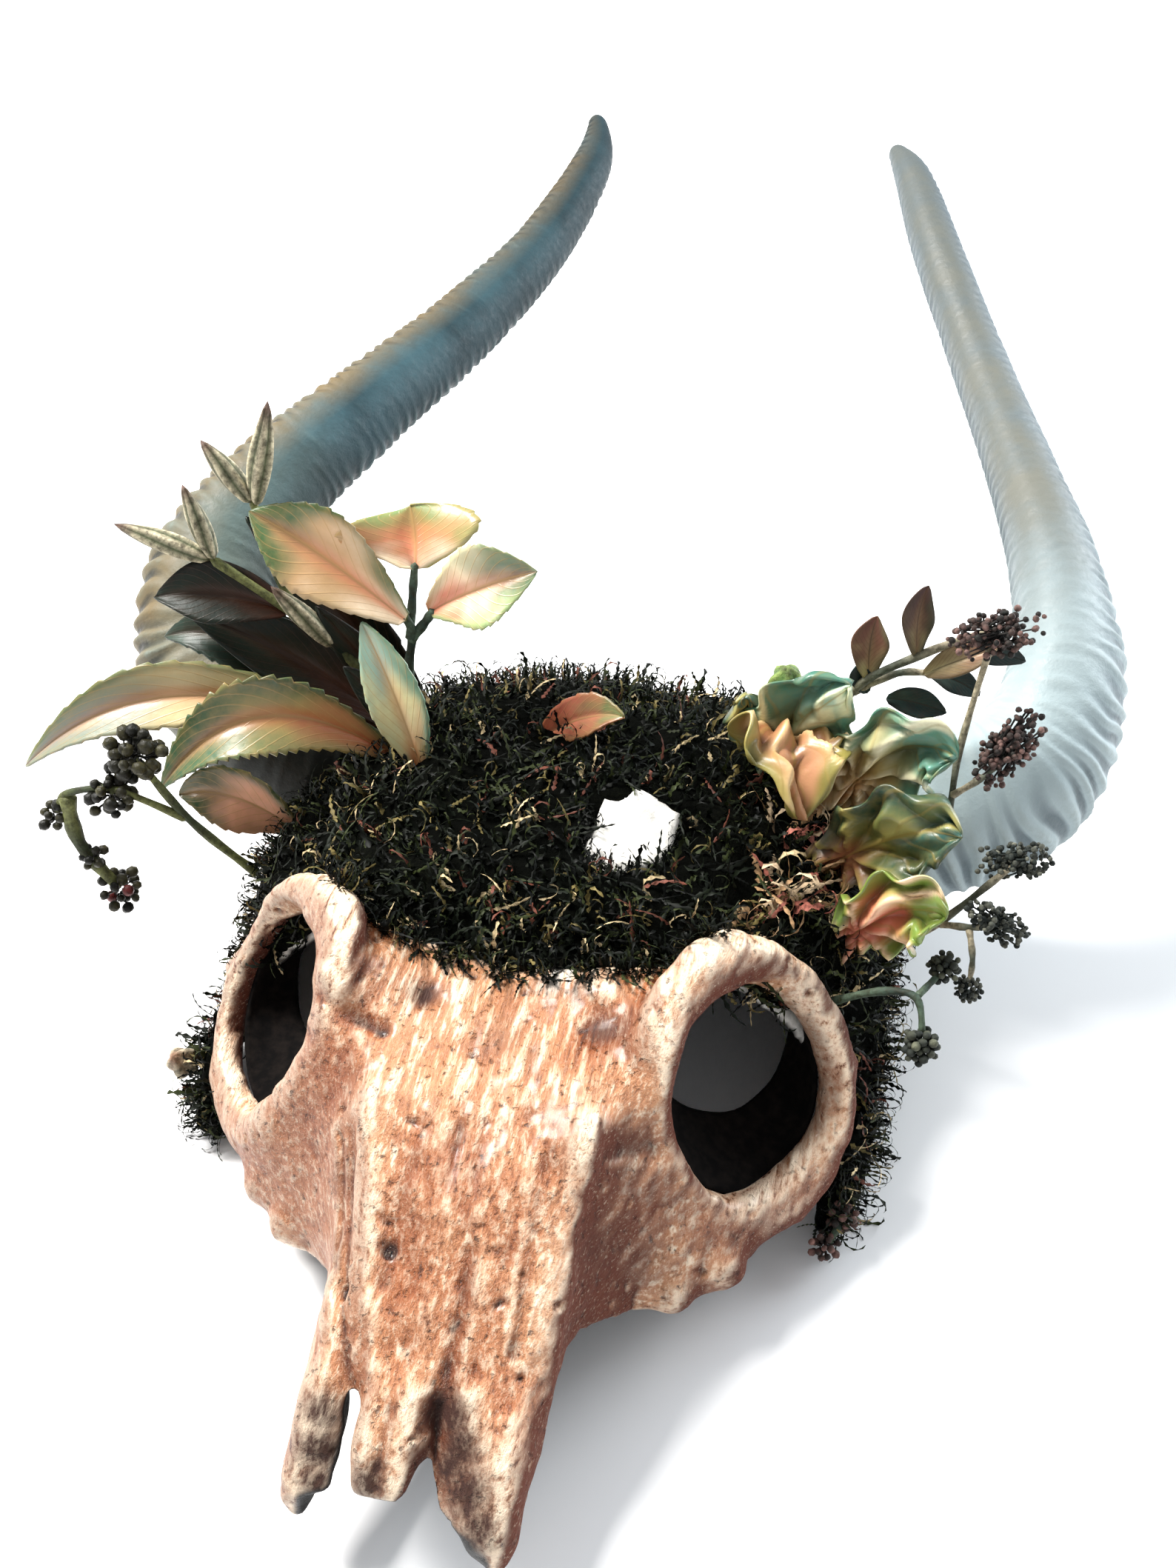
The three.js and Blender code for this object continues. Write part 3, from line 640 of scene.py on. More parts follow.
boneSettings = {
    "tan": tone(206, 148, 106),
    "rust": tone(156, 84, 40),
    "cream": tone(254, 232, 204),
    "brown": tone(50, 21, 10),
    "umber": tone(90, 39, 18),
    "insideShade": tone(8, 7, 7),
    # a whitish patch on the forehead: glue, partly a painted highlight
    "glueAndHighlight": tone(226, 220, 210),
    "glueAndHighlightPatch": (13, -97, 77),
    "glueAndHighlightReach": 11.0,
    "roughness": (0.26, 0.5),
}


def bonePaint(settings):
    material, tree, shader = startFinish("bonePaint", sheen=0.4)
    coords = objectCoords(tree)
    strokes = noiseField(tree, objectCoords(tree, (1, 0.12, 1)), 520.0, 5.0, 0.66)
    patches = noiseField(tree, objectCoords(tree, (1, 0.5, 1)), 30.0, 5.0, 0.6)
    specks = noiseField(tree, coords, 460.0, 4.0, 0.6)
    fine = noiseField(tree, objectCoords(tree, (1, 0.4, 1)), 1500.0, 4.0, 0.7)
    stored = ("recess", "hollow", "shade", "dirt", "inside")
    recess, hollow, shade, dirt, inside = (attribute(tree, name) for name in stored)
    wash = plus(tree, span(tree, patches, 0.42, 0.66, 0.0, 0.75), span(tree, strokes, 0.62, 0.36, 0.0, 0.35))
    dry = times(tree, span(tree, strokes, 0.50, 0.66), span(tree, patches, 0.68, 0.44))
    near = addNode(tree, "ShaderNodeVectorMath", {0: coords, 1: spot(settings["glueAndHighlightPatch"])}, operation="DISTANCE")
    reach = settings["glueAndHighlightReach"] * mm
    glueAndHighlight = span(tree, near.outputs["Value"], reach, 0.25 * reach)
    dirtAndShadeStreaks = times(tree, dirt, span(tree, strokes, 0.66, 0.34, 0.65, 1.0))
    layers = [
        ("rust", plus(tree, wash, span(tree, hollow, -1.0, 1.2, -0.35, 0.55))),
        ("cream", times(tree, dry, 0.95)),
        # cream on the raised brows, ridges and bumps: dry-brushed paint and painted highlight
        ("cream", times(tree, span(tree, hollow, -0.4, -1.7, 0.0, 0.85), span(tree, strokes, 0.34, 0.52))),
        ("cream", times(tree, span(tree, recess, -0.12, -0.7, 0.0, 0.75), span(tree, strokes, 0.35, 0.6))),
        # painted shade on the right side and the left cheek
        ("umber", shade),
        ("brown", plus(tree, span(tree, recess, 0.08, 0.9, 0.0, 0.9), span(tree, hollow, 0.5, 3.4, 0.0, 0.7))),
        ("brown", times(tree, span(tree, strokes, 0.44, 0.32, 0.0, 0.8), span(tree, patches, 0.36, 0.58))),
        ("brown", span(tree, specks, 0.66, 0.72, 0.0, 0.75)),
        ("cream", span(tree, fine, 0.56, 0.72, 0.0, 0.35)),
        ("umber", span(tree, fine, 0.44, 0.30, 0.0, 0.4)),
        # glue patch, partly a painted highlight
        ("glueAndHighlight", times(tree, glueAndHighlight, span(tree, strokes, 0.42, 0.56))),
        # brown of dirt and painted shade in the hollows
        ("brown", span(tree, dirtAndShadeStreaks, 0.12, 0.75, 0.0, 0.97)),
        # painted shade: the inside of the mask near-black
        ("insideShade", inside),
    ]
    colour = layered(tree, settings["tan"], *((weight, settings[name]) for name, weight in layers))
    setColour(tree, shader, colour)
    low, top = settings["roughness"]
    dull = reckon(tree, "MAXIMUM", shade, dirt)
    worn = reckon(tree, "MAXIMUM", span(tree, strokes, 0.35, 0.65, low, top), times(tree, dull, 0.85))
    tree.links.new(worn, shader.inputs["Roughness"])
    pitted = span(tree, specks, 0.60, 0.72, 0.0, -0.8)
    bump(tree, shader, plus(tree, plus(tree, strokes, pitted), times(tree, fine, 0.5)), 0.9, 0.0012)
    # thin varnish, worn off in the dirt and left off the painted shade
    tree.links.new(span(tree, dull, 0.0, 1.0, 0.35, 0.0), shader.inputs["Coat Weight"])
    shader.inputs["Coat Roughness"].default_value = 0.2
    return material


skullMesh = makeSkull(skullSettings)
finishPiece("skullCast", skullMesh, [bonePaint(boneSettings)], "bone", ["skull"])
print("skull:", len(skullMesh.polygons), "faces")

# Black sheets in the bottoms of the eye sockets: painted shadow inside the mask
socketSettings = {
    "socket": {**skullSettings["socket"], "wide": 27.5, "high": 28.5},
    "from": 190,  # degrees round the socket
    "to": 350,
    "sunk": 5.0,
    "reach": (-9, 22, 4),
    "ripple": 0.8,
    "thickness": 1.2,
    "black": tone(9, 8, 8),
    "dust": tone(24, 20, 18),
}


def makeSocketShadowSheets(settings):
    bm = startShape()
    socket = settings["socket"]
    for side in (-1, 1):
        facing = Vector(socket["facing"])
        facing.x *= side
        facing.normalize()
        across = Vector((0, 0, 1)).cross(facing).normalized()
        up = facing.cross(across)
        centre = Vector((side * socket["at"][0], *socket["at"][1:])) - facing * settings["sunk"]
        back = Vector((side * settings["reach"][0], *settings["reach"][1:]))

        def pointAt(s, t):
            angle = math.radians(settings["from"] + (settings["to"] - settings["from"]) * s)
            rim = centre + across * (socket["wide"] * math.cos(angle)) + up * (socket["high"] * math.sin(angle))
            ripple = settings["ripple"] * noise.noise(Vector((s * 6, t * 5, side)))
            return spot(rim + back * t + up * ripple)

        bentGrid(bm, 12, 28, pointAt, lambda s, t: settings["black"])
    # painted shadow: near-black with a fine grain
    material, tree, shader = startFinish("socketPaintedShadow", 0.9, 0.05)
    grain = noiseField(tree, objectCoords(tree), 300.0, 5.0, 0.6)
    colour = mixed(tree, span(tree, grain, 0.4, 0.7), attribute(tree, "tint", "Color"), settings["dust"])
    setColour(tree, shader, colour)
    piece = finishShape(bm, "socketShadowSheets", [material], "bone", [])
    wall = piece.modifiers.new("thickness", "SOLIDIFY")
    wall.thickness = settings["thickness"] * mm


makeSocketShadowSheets(socketSettings)
print("socket floors made")

# White shell under the moss, seen at the bare patch and the rim, its inside painted dark as painted shade
shellSettings = {
    "voxel": 2.0 * mm,
    "evenRounds": 8,
    "rough": 0.3,
    "patch": (22, -50),
    "patchRise": 7.4,  # the plaster stands up in the gap in the moss
    "patchReach": (12.4, 10.6),
    "lap": (12, 3.8, 4.2),  # it laps over the moss behind it: from where, how far, how high
    "white": tone(236, 234, 228),
    "grey": tone(196, 194, 188),
    "insideShade": tone(36, 34, 33),
}


def makeShell(settings):
    mesh = fineCopy("cap_base", settings["voxel"])
    points = evened(pointsOf(mesh), neighbourMean(mesh), settings["evenRounds"])
    movePoints(mesh, points)
    normals = normalsOf(mesh)
    away = points - np.array(spot((0, 0, 5)))
    away[:, 1] = np.where(away[:, 1] < -0.025, 0, away[:, 1])
    inner = stepped(0.1, -0.3, (normals * away).sum(1) / np.linalg.norm(away, axis=1))
    patch = spot((*settings["patch"], 0))
    aside = np.hypot(*((points[:, k] - patch[k]) / mm for k in (0, 1)))
    rise = settings["rough"] * noiseAt(points, 170.0, 2.0)
    lapFrom, lapReach, lapRise = settings["lap"]
    behind = stepped(0, lapFrom, (points[:, 1] - patch.y) / mm)
    spread = aside - lapReach * behind + 1.5 * noiseAt(points, 190.0, 7.0)
    plaster = (settings["patchRise"] + lapRise * behind) * stepped(*settings["patchReach"], spread)
    rise += plaster * (1 - inner) * (1 + 0.2 * noiseAt(points, 240.0, 6.0))
    points = pushed(points, normals, rise)
    points[:, 2] = np.maximum(points[:, 2], 0)
    movePoints(mesh, points)
    storeValues(mesh, "inner", inner)
    mesh.shade_smooth()
    material, tree, shader = startFinish("whiteShell", 0.8, 0.1)
    grain = noiseField(tree, objectCoords(tree), 260.0, 6.0, 0.7)
    # painted shade: the inside of the shell darkened
    insideShaded = times(tree, attribute(tree, "inner"), span(tree, grain, 0.0, 0.5, 0.8, 1.0))
    plastered = span(tree, grain, 0.35, 0.65)
    setColour(tree, shader, layered(
        tree, settings["grey"], (plastered, settings["white"]), (insideShaded, settings["insideShade"])))
    bump(tree, shader, grain, 0.6, 0.0008)
    finishPiece("capShell", mesh, [material], "cap_shell", ["cap_base"])


makeShell(shellSettings)
print("cap shell made")

# Moss: a dark clumpy bed and thousands of small curled, feathery fronds on it
mossSettings = {
    "voxel": 2.4 * mm,
    "evenRounds": 4,
    "clump": (50.0, 3.8),
    "crumb": (190.0, 1.4),
    "bedDark": tone(4, 5, 3),
    "bedLight": tone(18, 20, 11),
    "shapes": 20,
    "fronds": 4800,
    "curls": 2800,
    "length": (6.0, 13.0),
    "width": (1.0, 2.3),
    "frondSizes": (0.75, 1.2),
    "curlSizes": [(0.9, 1.4), (0.6, 1.0), (1.3, 2.1), (0.6, 1.15)],  # loose, at the bare patch, lichen, fringe
    "brightness": (0.6, 1.35),
    "tones": [
        (0.50, tone(5, 7, 5)),
        (0.27, tone(16, 22, 12)),
        (0.12, tone(48, 55, 28)),
        (0.05, tone(112, 100, 60)),
        (0.035, tone(206, 184, 142)),
        (0.025, tone(104, 60, 48)),
    ],
    "shadow": (0.003, 0.004, 0.002),
    "under": ((-80, -90), (52, 60)),  # from and to in depth and height: flat where the skull lies on it
    "sunk": ((-94, -97), (56, 64), 10.0),  # its thin front edge lies this deep under the skull
    "patch": shellSettings["patch"],
    "patchClear": 18.0,
    "patchRim": (12, 16.5, 110),  # curls that lean over the bare patch: from, to, number
    "fringe": 420,
    "tries": 40000,
    "lichen": [
        (65, -23, 73), (71, -27, 70), (76, -37, 67), (67, -57, 73), (61, -48, 78), (71, -48, 71), (60, -66, 75),
    ],
    "lichenReach": (6, 60),
    "lichenTones": [(0.5, tone(178, 142, 104)), (0.3, tone(214, 188, 154)), (0.2, tone(172, 104, 90))],
    "seed": 41,
}


def mossBed(settings):
    mesh = fineCopy("moss_cover", settings["voxel"])
    points = evened(pointsOf(mesh), neighbourMean(mesh), settings["evenRounds"])
    movePoints(mesh, points)
    rise = settings["clump"][1] * noiseAt(points, settings["clump"][0], 1.0)
    rise += settings["crumb"][1] * noiseAt(points, settings["crumb"][0], 4.0)
    depth, height = settings["under"]
    under = stepped(*depth, layoutY(points)) * stepped(*height, points[:, 2] / mm)
    rise = rise * (1 - under) - under
    points = pushed(points, normalsOf(mesh), rise)
    depth, height, fall = settings["sunk"]
    points[:, 2] -= fall * mm * (stepped(*depth, layoutY(points)) * stepped(*height, points[:, 2] / mm))
    points[:, 2] = np.maximum(points[:, 2], 0.0004)
    movePoints(mesh, points)
    storeValues(mesh, "rise", rise)
    mesh.shade_smooth()
    material, tree, shader = startFinish("mossBed", 0.9, 0.04)
    crumbs = noiseField(tree, objectCoords(tree), 700.0, 5.0, 0.7)
    lit = times(tree, span(tree, attribute(tree, "rise"), 0.0, 3.0), span(tree, crumbs, 0.45, 0.7))
    colour = mixed(tree, lit, settings["bedDark"], settings["bedLight"])
    setColour(tree, shader, colour)
    bump(tree, shader, crumbs, 1.0, 0.0015)
    return mesh, material


def aimed(lean, bend):  # a direction from its rise and its turn
    return Vector((math.cos(lean) * math.cos(bend), math.cos(lean) * math.sin(bend), math.sin(lean)))


def frondShape(pick, length, width, steps=10):
    bm = startShape()
    curled = pick.random() < 0.65
    heading = pick.uniform(0.1, 0.8)
    turn = pick.uniform(2.6, 6.4) if curled else pick.uniform(-1.6, 0.4)
    sway, twist = pick.uniform(-1.4, 1.4), pick.uniform(-1.2, 1.2)
    path, place, aside = [], Vector((0, 0, 0)), 0.0
    for step in range(steps + 1):
        path.append((place.copy(), heading, aside))
        place = place + aimed(heading, aside) * (length / steps)
        heading += turn / steps * (0.4 + 1.2 * step / steps)
        aside += sway / steps

    def pointAt(s, t):
        step = min(steps, round(t * steps))
        centre, lean, bend = path[step]
        ahead = aimed(lean, bend)
        side = Vector((-math.sin(bend), math.cos(bend), 0))
        side = Matrix.Rotation(twist * t, 3, ahead) @ side
        q = 2 * s - 1
        barb = 1.0 if step % 2 else 0.3
        half = width * 0.5 * (1 - 0.7 * t) * barb
        return centre + side * (q * half) + (ahead * 0.5 + side.cross(ahead) * 0.35) * (half * abs(q))

    bentGrid(bm, steps, 2, pointAt, lambda s, t: (0, 0, 0))
    bm.verts.index_update()
    points = np.array([vert.co[:] for vert in bm.verts])
    faces = np.array([[vert.index for vert in face.verts] for face in bm.faces])
    bm.free()
    return points, faces


def scattered(name, shapes, picks, turns, origins, tints):
    points, faces, colours, start = [], [], [], 0
    for index, (shape, corners) in enumerate(shapes):
        chosen = np.flatnonzero(picks == index)
        if not len(chosen):
            continue
        moved = np.einsum("mij,nj->mni", turns[chosen], shape) + origins[chosen][:, None]
        points.append(moved.reshape(-1, 3))
        shift = start + np.arange(len(chosen)) * len(shape)
        faces.append((corners[None] + shift[:, None, None]).reshape(-1, 4))
        colours.append(np.repeat(tints[chosen], len(shape), axis=0))
        start += len(chosen) * len(shape)
    points, faces, colours = (np.concatenate(part) for part in (points, faces, colours))
    points[:, 2] = np.maximum(points[:, 2], 0.0003)
    mesh = bpy.data.meshes.new(name)
    mesh.from_pydata(points.tolist(), [], faces.tolist())
    colours = np.column_stack((colours, np.ones(len(colours)))).astype(np.float32)
    mesh.attributes.new("tint", "FLOAT_COLOR", "POINT").data.foreach_set("color", colours.ravel())
    mesh.shade_smooth()
    return mesh


def mossGround(mesh, rng, count):  # points and normals on the outer side of the moss bed
    mesh.calc_loop_triangles()
    corners = np.empty(len(mesh.loop_triangles) * 3, np.int32)
    mesh.loop_triangles.foreach_get("vertices", corners)
    corners = pointsOf(mesh)[corners.reshape(-1, 3)]
    cross = np.cross(corners[:, 1] - corners[:, 0], corners[:, 2] - corners[:, 0])
    area = np.linalg.norm(cross, axis=1)
    normal = cross / np.maximum(area, 1e-12)[:, None]
    middle = corners.mean(1)
    away = middle - np.array(spot((0, 0, 10)))
    away[:, 1] = np.where(away[:, 1] < -0.025, 0, away[:, 1])
    away /= np.linalg.norm(away, axis=1)[:, None]
    facing = (normal * away).sum(1)
    hem = (normal[:, 1] < -0.4) & (middle[:, 1] < layout.y - 0.07) & (normal[:, 2] > -0.75)
    area = np.where(hem, 2.5 * area, np.where((facing > 0.2) & (normal[:, 2] > -0.6), area, 0))
    chosen = rng.choice(len(area), count, p=area / area.sum())
    u, v = rng.random((2, count))
    flip = u + v > 1
    u, v = np.where(flip, 1 - u, u), np.where(flip, 1 - v, v)
    a, b, c = (corners[chosen, k] for k in range(3))
    upright = 0.5 * normal[chosen] + 0.5 * away[chosen]
    return a + u[:, None] * (b - a) + v[:, None] * (c - a), upright / np.linalg.norm(upright, axis=1)[:, None]


def standing(heading, normals, sizes):  # turns that stand a shape on a surface
    side = np.cross(normals, heading)
    side /= np.linalg.norm(side, axis=1)[:, None]
    ahead = np.cross(side, normals)
    return np.stack((ahead, side, normals), axis=2) * sizes[:, None, None]


def pickedTones(rng, tones, count, brightness):
    shares = np.array([share for share, _ in tones])
    chosen = rng.choice(len(tones), count, p=shares / shares.sum())
    colours = np.array([colour for _, colour in tones])[chosen]
    return colours * rng.uniform(*brightness, (count, 1))


def skullEdge(rng, count):  # places along the skull's upper back edge
    points, normals = pointsOf(skullMesh), normalsOf(skullMesh)
    across = ((points[:, 0] - layout.x) / mm).round().astype(int)
    outer = (normals[:, 2] > 0.35) & (np.abs(across) < 56)
    outer &= (points[:, 2] > 0.06) & (points[:, 1] > layout.y - 0.101)
    edge = np.full(200, -1.0)
    np.maximum.at(edge, across[outer] + 100, points[outer, 1])
    near = np.flatnonzero(outer & (points[:, 1] > edge[across + 100] - 0.005))
    chosen = rng.choice(near, count)
    return points[chosen], normals[chosen]


def frondPaint(settings):
    material, tree, shader = startFinish("mossFrond", 0.55, 0.12)
    mottle = span(tree, noiseField(tree, objectCoords(tree), 900.0, 3.0), 0.35, 0.7, 0.0, 0.7)
    setColour(tree, shader, mixed(tree, mottle, attribute(tree, "tint", "Color"), settings["shadow"]))
    return material


def makeMoss(settings):
    bed, bedFinish = mossBed(settings)
    finishPiece("mossBed", bed, [bedFinish], "moss", ["moss_cover"])
    rng = np.random.default_rng(settings["seed"])
    pick = random.Random(settings["seed"])
    finish = frondPaint(settings)
    shapes = []
    for index in range(settings["shapes"]):
        length, width = (pick.uniform(*settings[key]) * mm for key in ("length", "width"))
        shapes.append(frondShape(pick, length, width))

    count = settings["fronds"]
    patch = np.array(spot((*settings["patch"], 0)))
    origins, normals = mossGround(bed, rng, count)
    aside = np.hypot(*(origins[:, :2] - patch[:2]).T) / mm
    keep = aside > settings["patchClear"] * rng.uniform(0.75, 1.0, count)
    origins, normals, count = origins[keep], normals[keep], int(keep.sum())
    turns = standing(rng.normal(size=(count, 3)), normals, rng.uniform(*settings["frondSizes"], count))
    tints = pickedTones(rng, settings["tones"], count, settings["brightness"])
    mesh = scattered("mossFronds", shapes, rng.integers(0, len(shapes), count), turns, origins, tints)
    finishPiece("mossFronds", mesh, [finish], "moss", [])
    print("moss fronds:", len(mesh.polygons), "faces")

    origins, normals = mossGround(bed, rng, settings["tries"])
    aside = patch - origins
    aside[:, 2] = 0
    reach = np.linalg.norm(aside, axis=1) / mm
    first, last, count = settings["patchRim"]
    rim = np.flatnonzero((reach > first) & (reach < last) & (aside[:, 1] > -0.006))[:count]
    near = np.min([distances(origins, place) for place in settings["lichen"]], axis=0) / mm
    last, count = settings["lichenReach"]
    lichen = np.flatnonzero(near < last)[:count]
    loose = np.flatnonzero(reach > 15)[:settings["curls"]]
    fringe, fringeUp = skullEdge(rng, settings["fringe"])
    chosen = np.concatenate((loose, rim, lichen))
    forward = np.array((0, -1.6, 0)) + rng.normal(size=(len(fringe), 3)) * 0.7
    inward = aside[rim] / 0.012 + rng.normal(size=(len(rim), 3)) * 0.7
    freely = [rng.normal(size=(len(group), 3)) for group in (loose, lichen)]
    heading = np.concatenate((freely[0], inward, freely[1], forward))
    tones = settings["tones"]
    counts = [len(group) for group in (loose, rim, lichen, fringe)]
    sizes = [rng.uniform(*limits, many) for limits, many in zip(settings["curlSizes"], counts)]
    palettes = (tones[1:], tones[:3], settings["lichenTones"], tones[:5])
    tints = [pickedTones(rng, palette, many, settings["brightness"]) for palette, many in zip(palettes, counts)]
    places = np.concatenate((origins[chosen], fringe))
    turns = standing(heading, np.concatenate((normals[chosen], fringeUp)), np.concatenate(sizes))
    picks = rng.integers(0, len(shapes), len(places))
    mesh = scattered("mossCurls", shapes, picks, turns, places, np.concatenate(tints))
    finishPiece("mossCurls", mesh, [finish], "moss", [])
    print("moss curls:", len(mesh.polygons), "faces")


makeMoss(mossSettings)

# Horns: swept through the same stations as the solids, with wavy rings on their edges and a brown keel
hornSettings = {
    "around": 48,
    "pitch": (6.6, 4.6),  # ring spacing at the root and at the tip
    "rise": 0.085,
    "wrinkle": 0.13,
    "lump": 0.02,
    "perRing": 9,
}
# rows: x, y, z, half-breadth, half-thickness in layout millimetres; ridges: where round the section they stand
hornTable = {
    "horn_left": {
        "name": "hornLeft", "finish": "hornSkinLeft", "sheen": 0.18, "ridges": 0.0, "broad": (0.77, -0.06, -0.64),
        "slate": tone(62, 90, 98), "deep": tone(15, 27, 32), "pale": tone(128, 152, 150), "brown": tone(112, 98, 72),
        "rootTone": tone(112, 118, 104), "shadow": tone(8, 12, 9),
        "rootShare": 0.7, "plainTo": 0.05, "darkTip": 0.7, "darkRoot": 0.95,
        "rows": [
            (-82, 15, 50, 28, 25), (-110, 14, 57, 28, 25), (-135, 25, 71, 26, 22), (-143, 52, 92, 22, 18),
            (-131, 90, 108, 18.5, 14), (-113, 132, 117, 16, 12), (-91, 190, 125, 14, 10.5),
            (-71, 250, 137, 11.5, 9.5), (-60, 308, 154, 8.5, 7.5), (-64, 341, 164, 3.5, 3),
        ],
    },
    "horn_right": {
        "name": "hornRight", "finish": "hornSkinRight", "sheen": 0.35, "ridges": 90.0, "broad": (0.36, 0.34, -0.86),
        # paler and bluer than the left horn, with a pale root: partly painted light from the window at the right
        "slate": tone(88, 102, 109), "deep": tone(46, 63, 72), "pale": tone(148, 160, 160), "brown": tone(108, 108, 98),
        "rootTone": tone(168, 184, 187), "shadow": tone(8, 12, 9),
        "rootShare": 0.8, "plainTo": 0.45, "darkTip": 0.5, "darkRoot": 0.0,
        "rows": [
            (82, 15, 50, 29, 25), (110, 13, 57, 29, 25), (137, 24, 69, 28, 22), (147, 51, 87, 24, 18),
            (142, 95, 101, 19, 14.5), (130, 145, 110, 16, 12), (113, 205, 122, 14, 10.5),
            (92, 268, 142, 11.5, 9.5), (79, 315, 154, 8.5, 7.5), (69, 341, 158, 3.5, 3),
        ],
    },
}


def hornPath(rows, samples=400):
    table = np.array([alongRows(rows, k / samples) for k in range(samples + 1)])
    steps = np.linalg.norm(np.diff(table[:, :3], axis=0), axis=1)
    return table, np.concatenate(([0], np.cumsum(steps)))


def makeHorn(node, horn, settings):
    table, lengths = hornPath(horn["rows"])
    total = lengths[-1]
    first, last = settings["pitch"]
    rings = total / (0.5 * (first + last))
    broadAlong = Vector(horn["broad"])

    def ringPhase(t):  # rings counted from the root, closer towards the tip
        return rings * (t + 0.5 * t * (1 - t) * (last - first) / first)

    def onHorn(t):
        row = [np.interp(t * total, lengths, table[:, k]) for k in range(5)]
        ahead = [np.interp(min(total, t * total + 2), lengths, table[:, k]) for k in range(3)]
        back = [np.interp(max(0, t * total - 2), lengths, table[:, k]) for k in range(3)]
        return row, (Vector(ahead) - Vector(back)).normalized()

    cached = {}

    def section(t):
        key = round(t, 7)
        if key not in cached:
            row, along = onHorn(t)
            wide = (broadAlong - along * along.dot(broadAlong)).normalized()
            cached[key] = (Vector(row[:3]), row[3], row[4], wide, along.cross(wide))
        return cached[key]

    def ripple(s, t, fine, along, shift=0.0):  # noise round the horn and along it
        angle = 2 * math.pi * s
        around = Vector((math.cos(angle), math.sin(angle), 0))
        return noise.noise(Vector((around.x * fine, around.y * fine, t * along + shift)))

    def ridgeAt(s, t):
        warp = ripple(s, t, 1.3, 30)
        crest = 0.5 + 0.5 * math.cos(2 * math.pi * (ringPhase(t) + 0.7 * warp))
        edge = math.cos(2 * math.pi * s - math.radians(horn["ridges"])) ** 6
        patchy = 0.5 + ripple(s, t, 1.6, 24, 9)
        strength = edge + 0.09 * min(1.0, max(0.1, patchy)) + 0.12 * smoothStep(0.34, 0.1, t)
        return (crest**1.7 - 0.4) * strength + settings["wrinkle"] * ripple(s, t, 2.2, 150)

    def pointAt(s, t):
        centre, broad, thin, wide, flat = section(t)
        angle = 2 * math.pi * s
        tip = math.sqrt(max(0.0, 1 - max(0.0, (t - 0.985) / 0.015) ** 2))
        root = 0.0 if t == 0 else 1.0
        lump = settings["lump"] * ripple(s, t, 1.5, 14, 3)
        swell = (1 + lump + settings["rise"] * ridgeAt(s, t) * (1 - 0.4 * t)) * tip * root
        return spot(centre + wide * (broad * swell * math.cos(angle)) + flat * (thin * swell * math.sin(angle)))

    def tintAt(s, t):
        return (0.5 + 0.5 * ridgeAt(s, t), 0.5 - 0.5 * math.cos(2 * math.pi * s), t)

    bm = startShape()
    along = int(rings * settings["perRing"])
    bentGrid(bm, along, settings["around"], pointAt, tintAt, tube=True)
    piece = finishShape(bm, horn["name"], [hornPaint(horn)], "horn", [node])
    print(horn["name"], len(piece.data.polygons), "faces", round(rings), "rings")


def hornPaint(settings):
    material, tree, shader = startFinish(settings["finish"], sheen=settings["sheen"])
    parts = addNode(tree, "ShaderNodeSeparateColor", {"Color": attribute(tree, "tint", "Color")})
    ridge, keel, reach = (parts.outputs[k] for k in range(3))
    coords = objectCoords(tree)
    clouds = noiseField(tree, coords, 38.0, 5.0, 0.6)
    fibres = noiseField(tree, coords, 420.0, 5.0, 0.65)
    brown = times(tree, span(tree, keel, 0.6, 0.95), span(tree, clouds, 0.30, 0.60, 0.35, 1.0))
    plainTo = settings["plainTo"]
    layers = [
        ("deep", span(tree, clouds, 0.38, 0.70, 0.0, 0.7)),
        ("rootTone", span(tree, reach, 0.42, 0.18, 0.0, settings["rootShare"])),
        ("pale", times(tree, span(tree, ridge, 0.52, 0.8), span(tree, fibres, 0.35, 0.6))),
        ("brown", times(tree, brown, span(tree, reach, plainTo * 0.4, plainTo))),
        ("deep", span(tree, keel, 0.42, 0.08, 0.0, 0.6)),
        ("deep", span(tree, ridge, 0.46, 0.30, 0.0, 0.75)),
        ("deep", span(tree, reach, 0.4, 1.0, 0.0, settings["darkTip"])),
        ("shadow", span(tree, reach, 0.15, 0.07, 0.0, settings["darkRoot"])),
    ]
    colour = layered(tree, settings["slate"], *((weight, settings[name]) for name, weight in layers))
    setColour(tree, shader, colour)
    tree.links.new(span(tree, fibres, 0.3, 0.7, 0.38, 0.62), shader.inputs["Roughness"])
    bump(tree, shader, fibres, 0.5, 0.0006)
    return material


for node, horn in hornTable.items():
    makeHorn(node, horn, hornSettings)

# Foliage finishes: the tint is painted on the points, the nodes add veins, mottling and gloss

def leafPaint(name, roughness, veins, veinTone, shine, sheen):
    material, tree, shader = startFinish(name, roughness, sheen)
    grid = addNode(tree, "ShaderNodeUVMap", uv_map="grid").outputs[0]
    parts = addNode(tree, "ShaderNodeSeparateXYZ", {"Vector": grid})
    across = reckon(tree, "ABSOLUTE", reckon(tree, "SUBTRACT", parts.outputs[0], 0.5), 0.0)
    slant = reckon(tree, "SUBTRACT", parts.outputs[1], times(tree, across, 0.75))
    wave = reckon(tree, "SINE", times(tree, slant, veins), 0.0)
    ribs = span(tree, wave, 0.86, 1.0, 0.0, 0.35)
    middle = span(tree, across, 0.035, 0.0, 0.0, 0.7)
    lines = reckon(tree, "MAXIMUM", ribs, middle)
    mottle = noiseField(tree, objectCoords(tree), 330.0, 5.0, 0.6)
    tint = attribute(tree, "tint", "Color")
    mottled = span(tree, mottle, 0.35, 0.7, 0.0, 0.25)
    setColour(tree, shader, layered(tree, tint, (mottled, veinTone), (lines, veinTone)))
    shader.inputs["Coat Weight"].default_value = shine
    shader.inputs["Coat Roughness"].default_value = 0.2
    bump(tree, shader, plus(tree, lines, times(tree, mottle, 0.6)), 0.35, 0.0006)
    return material


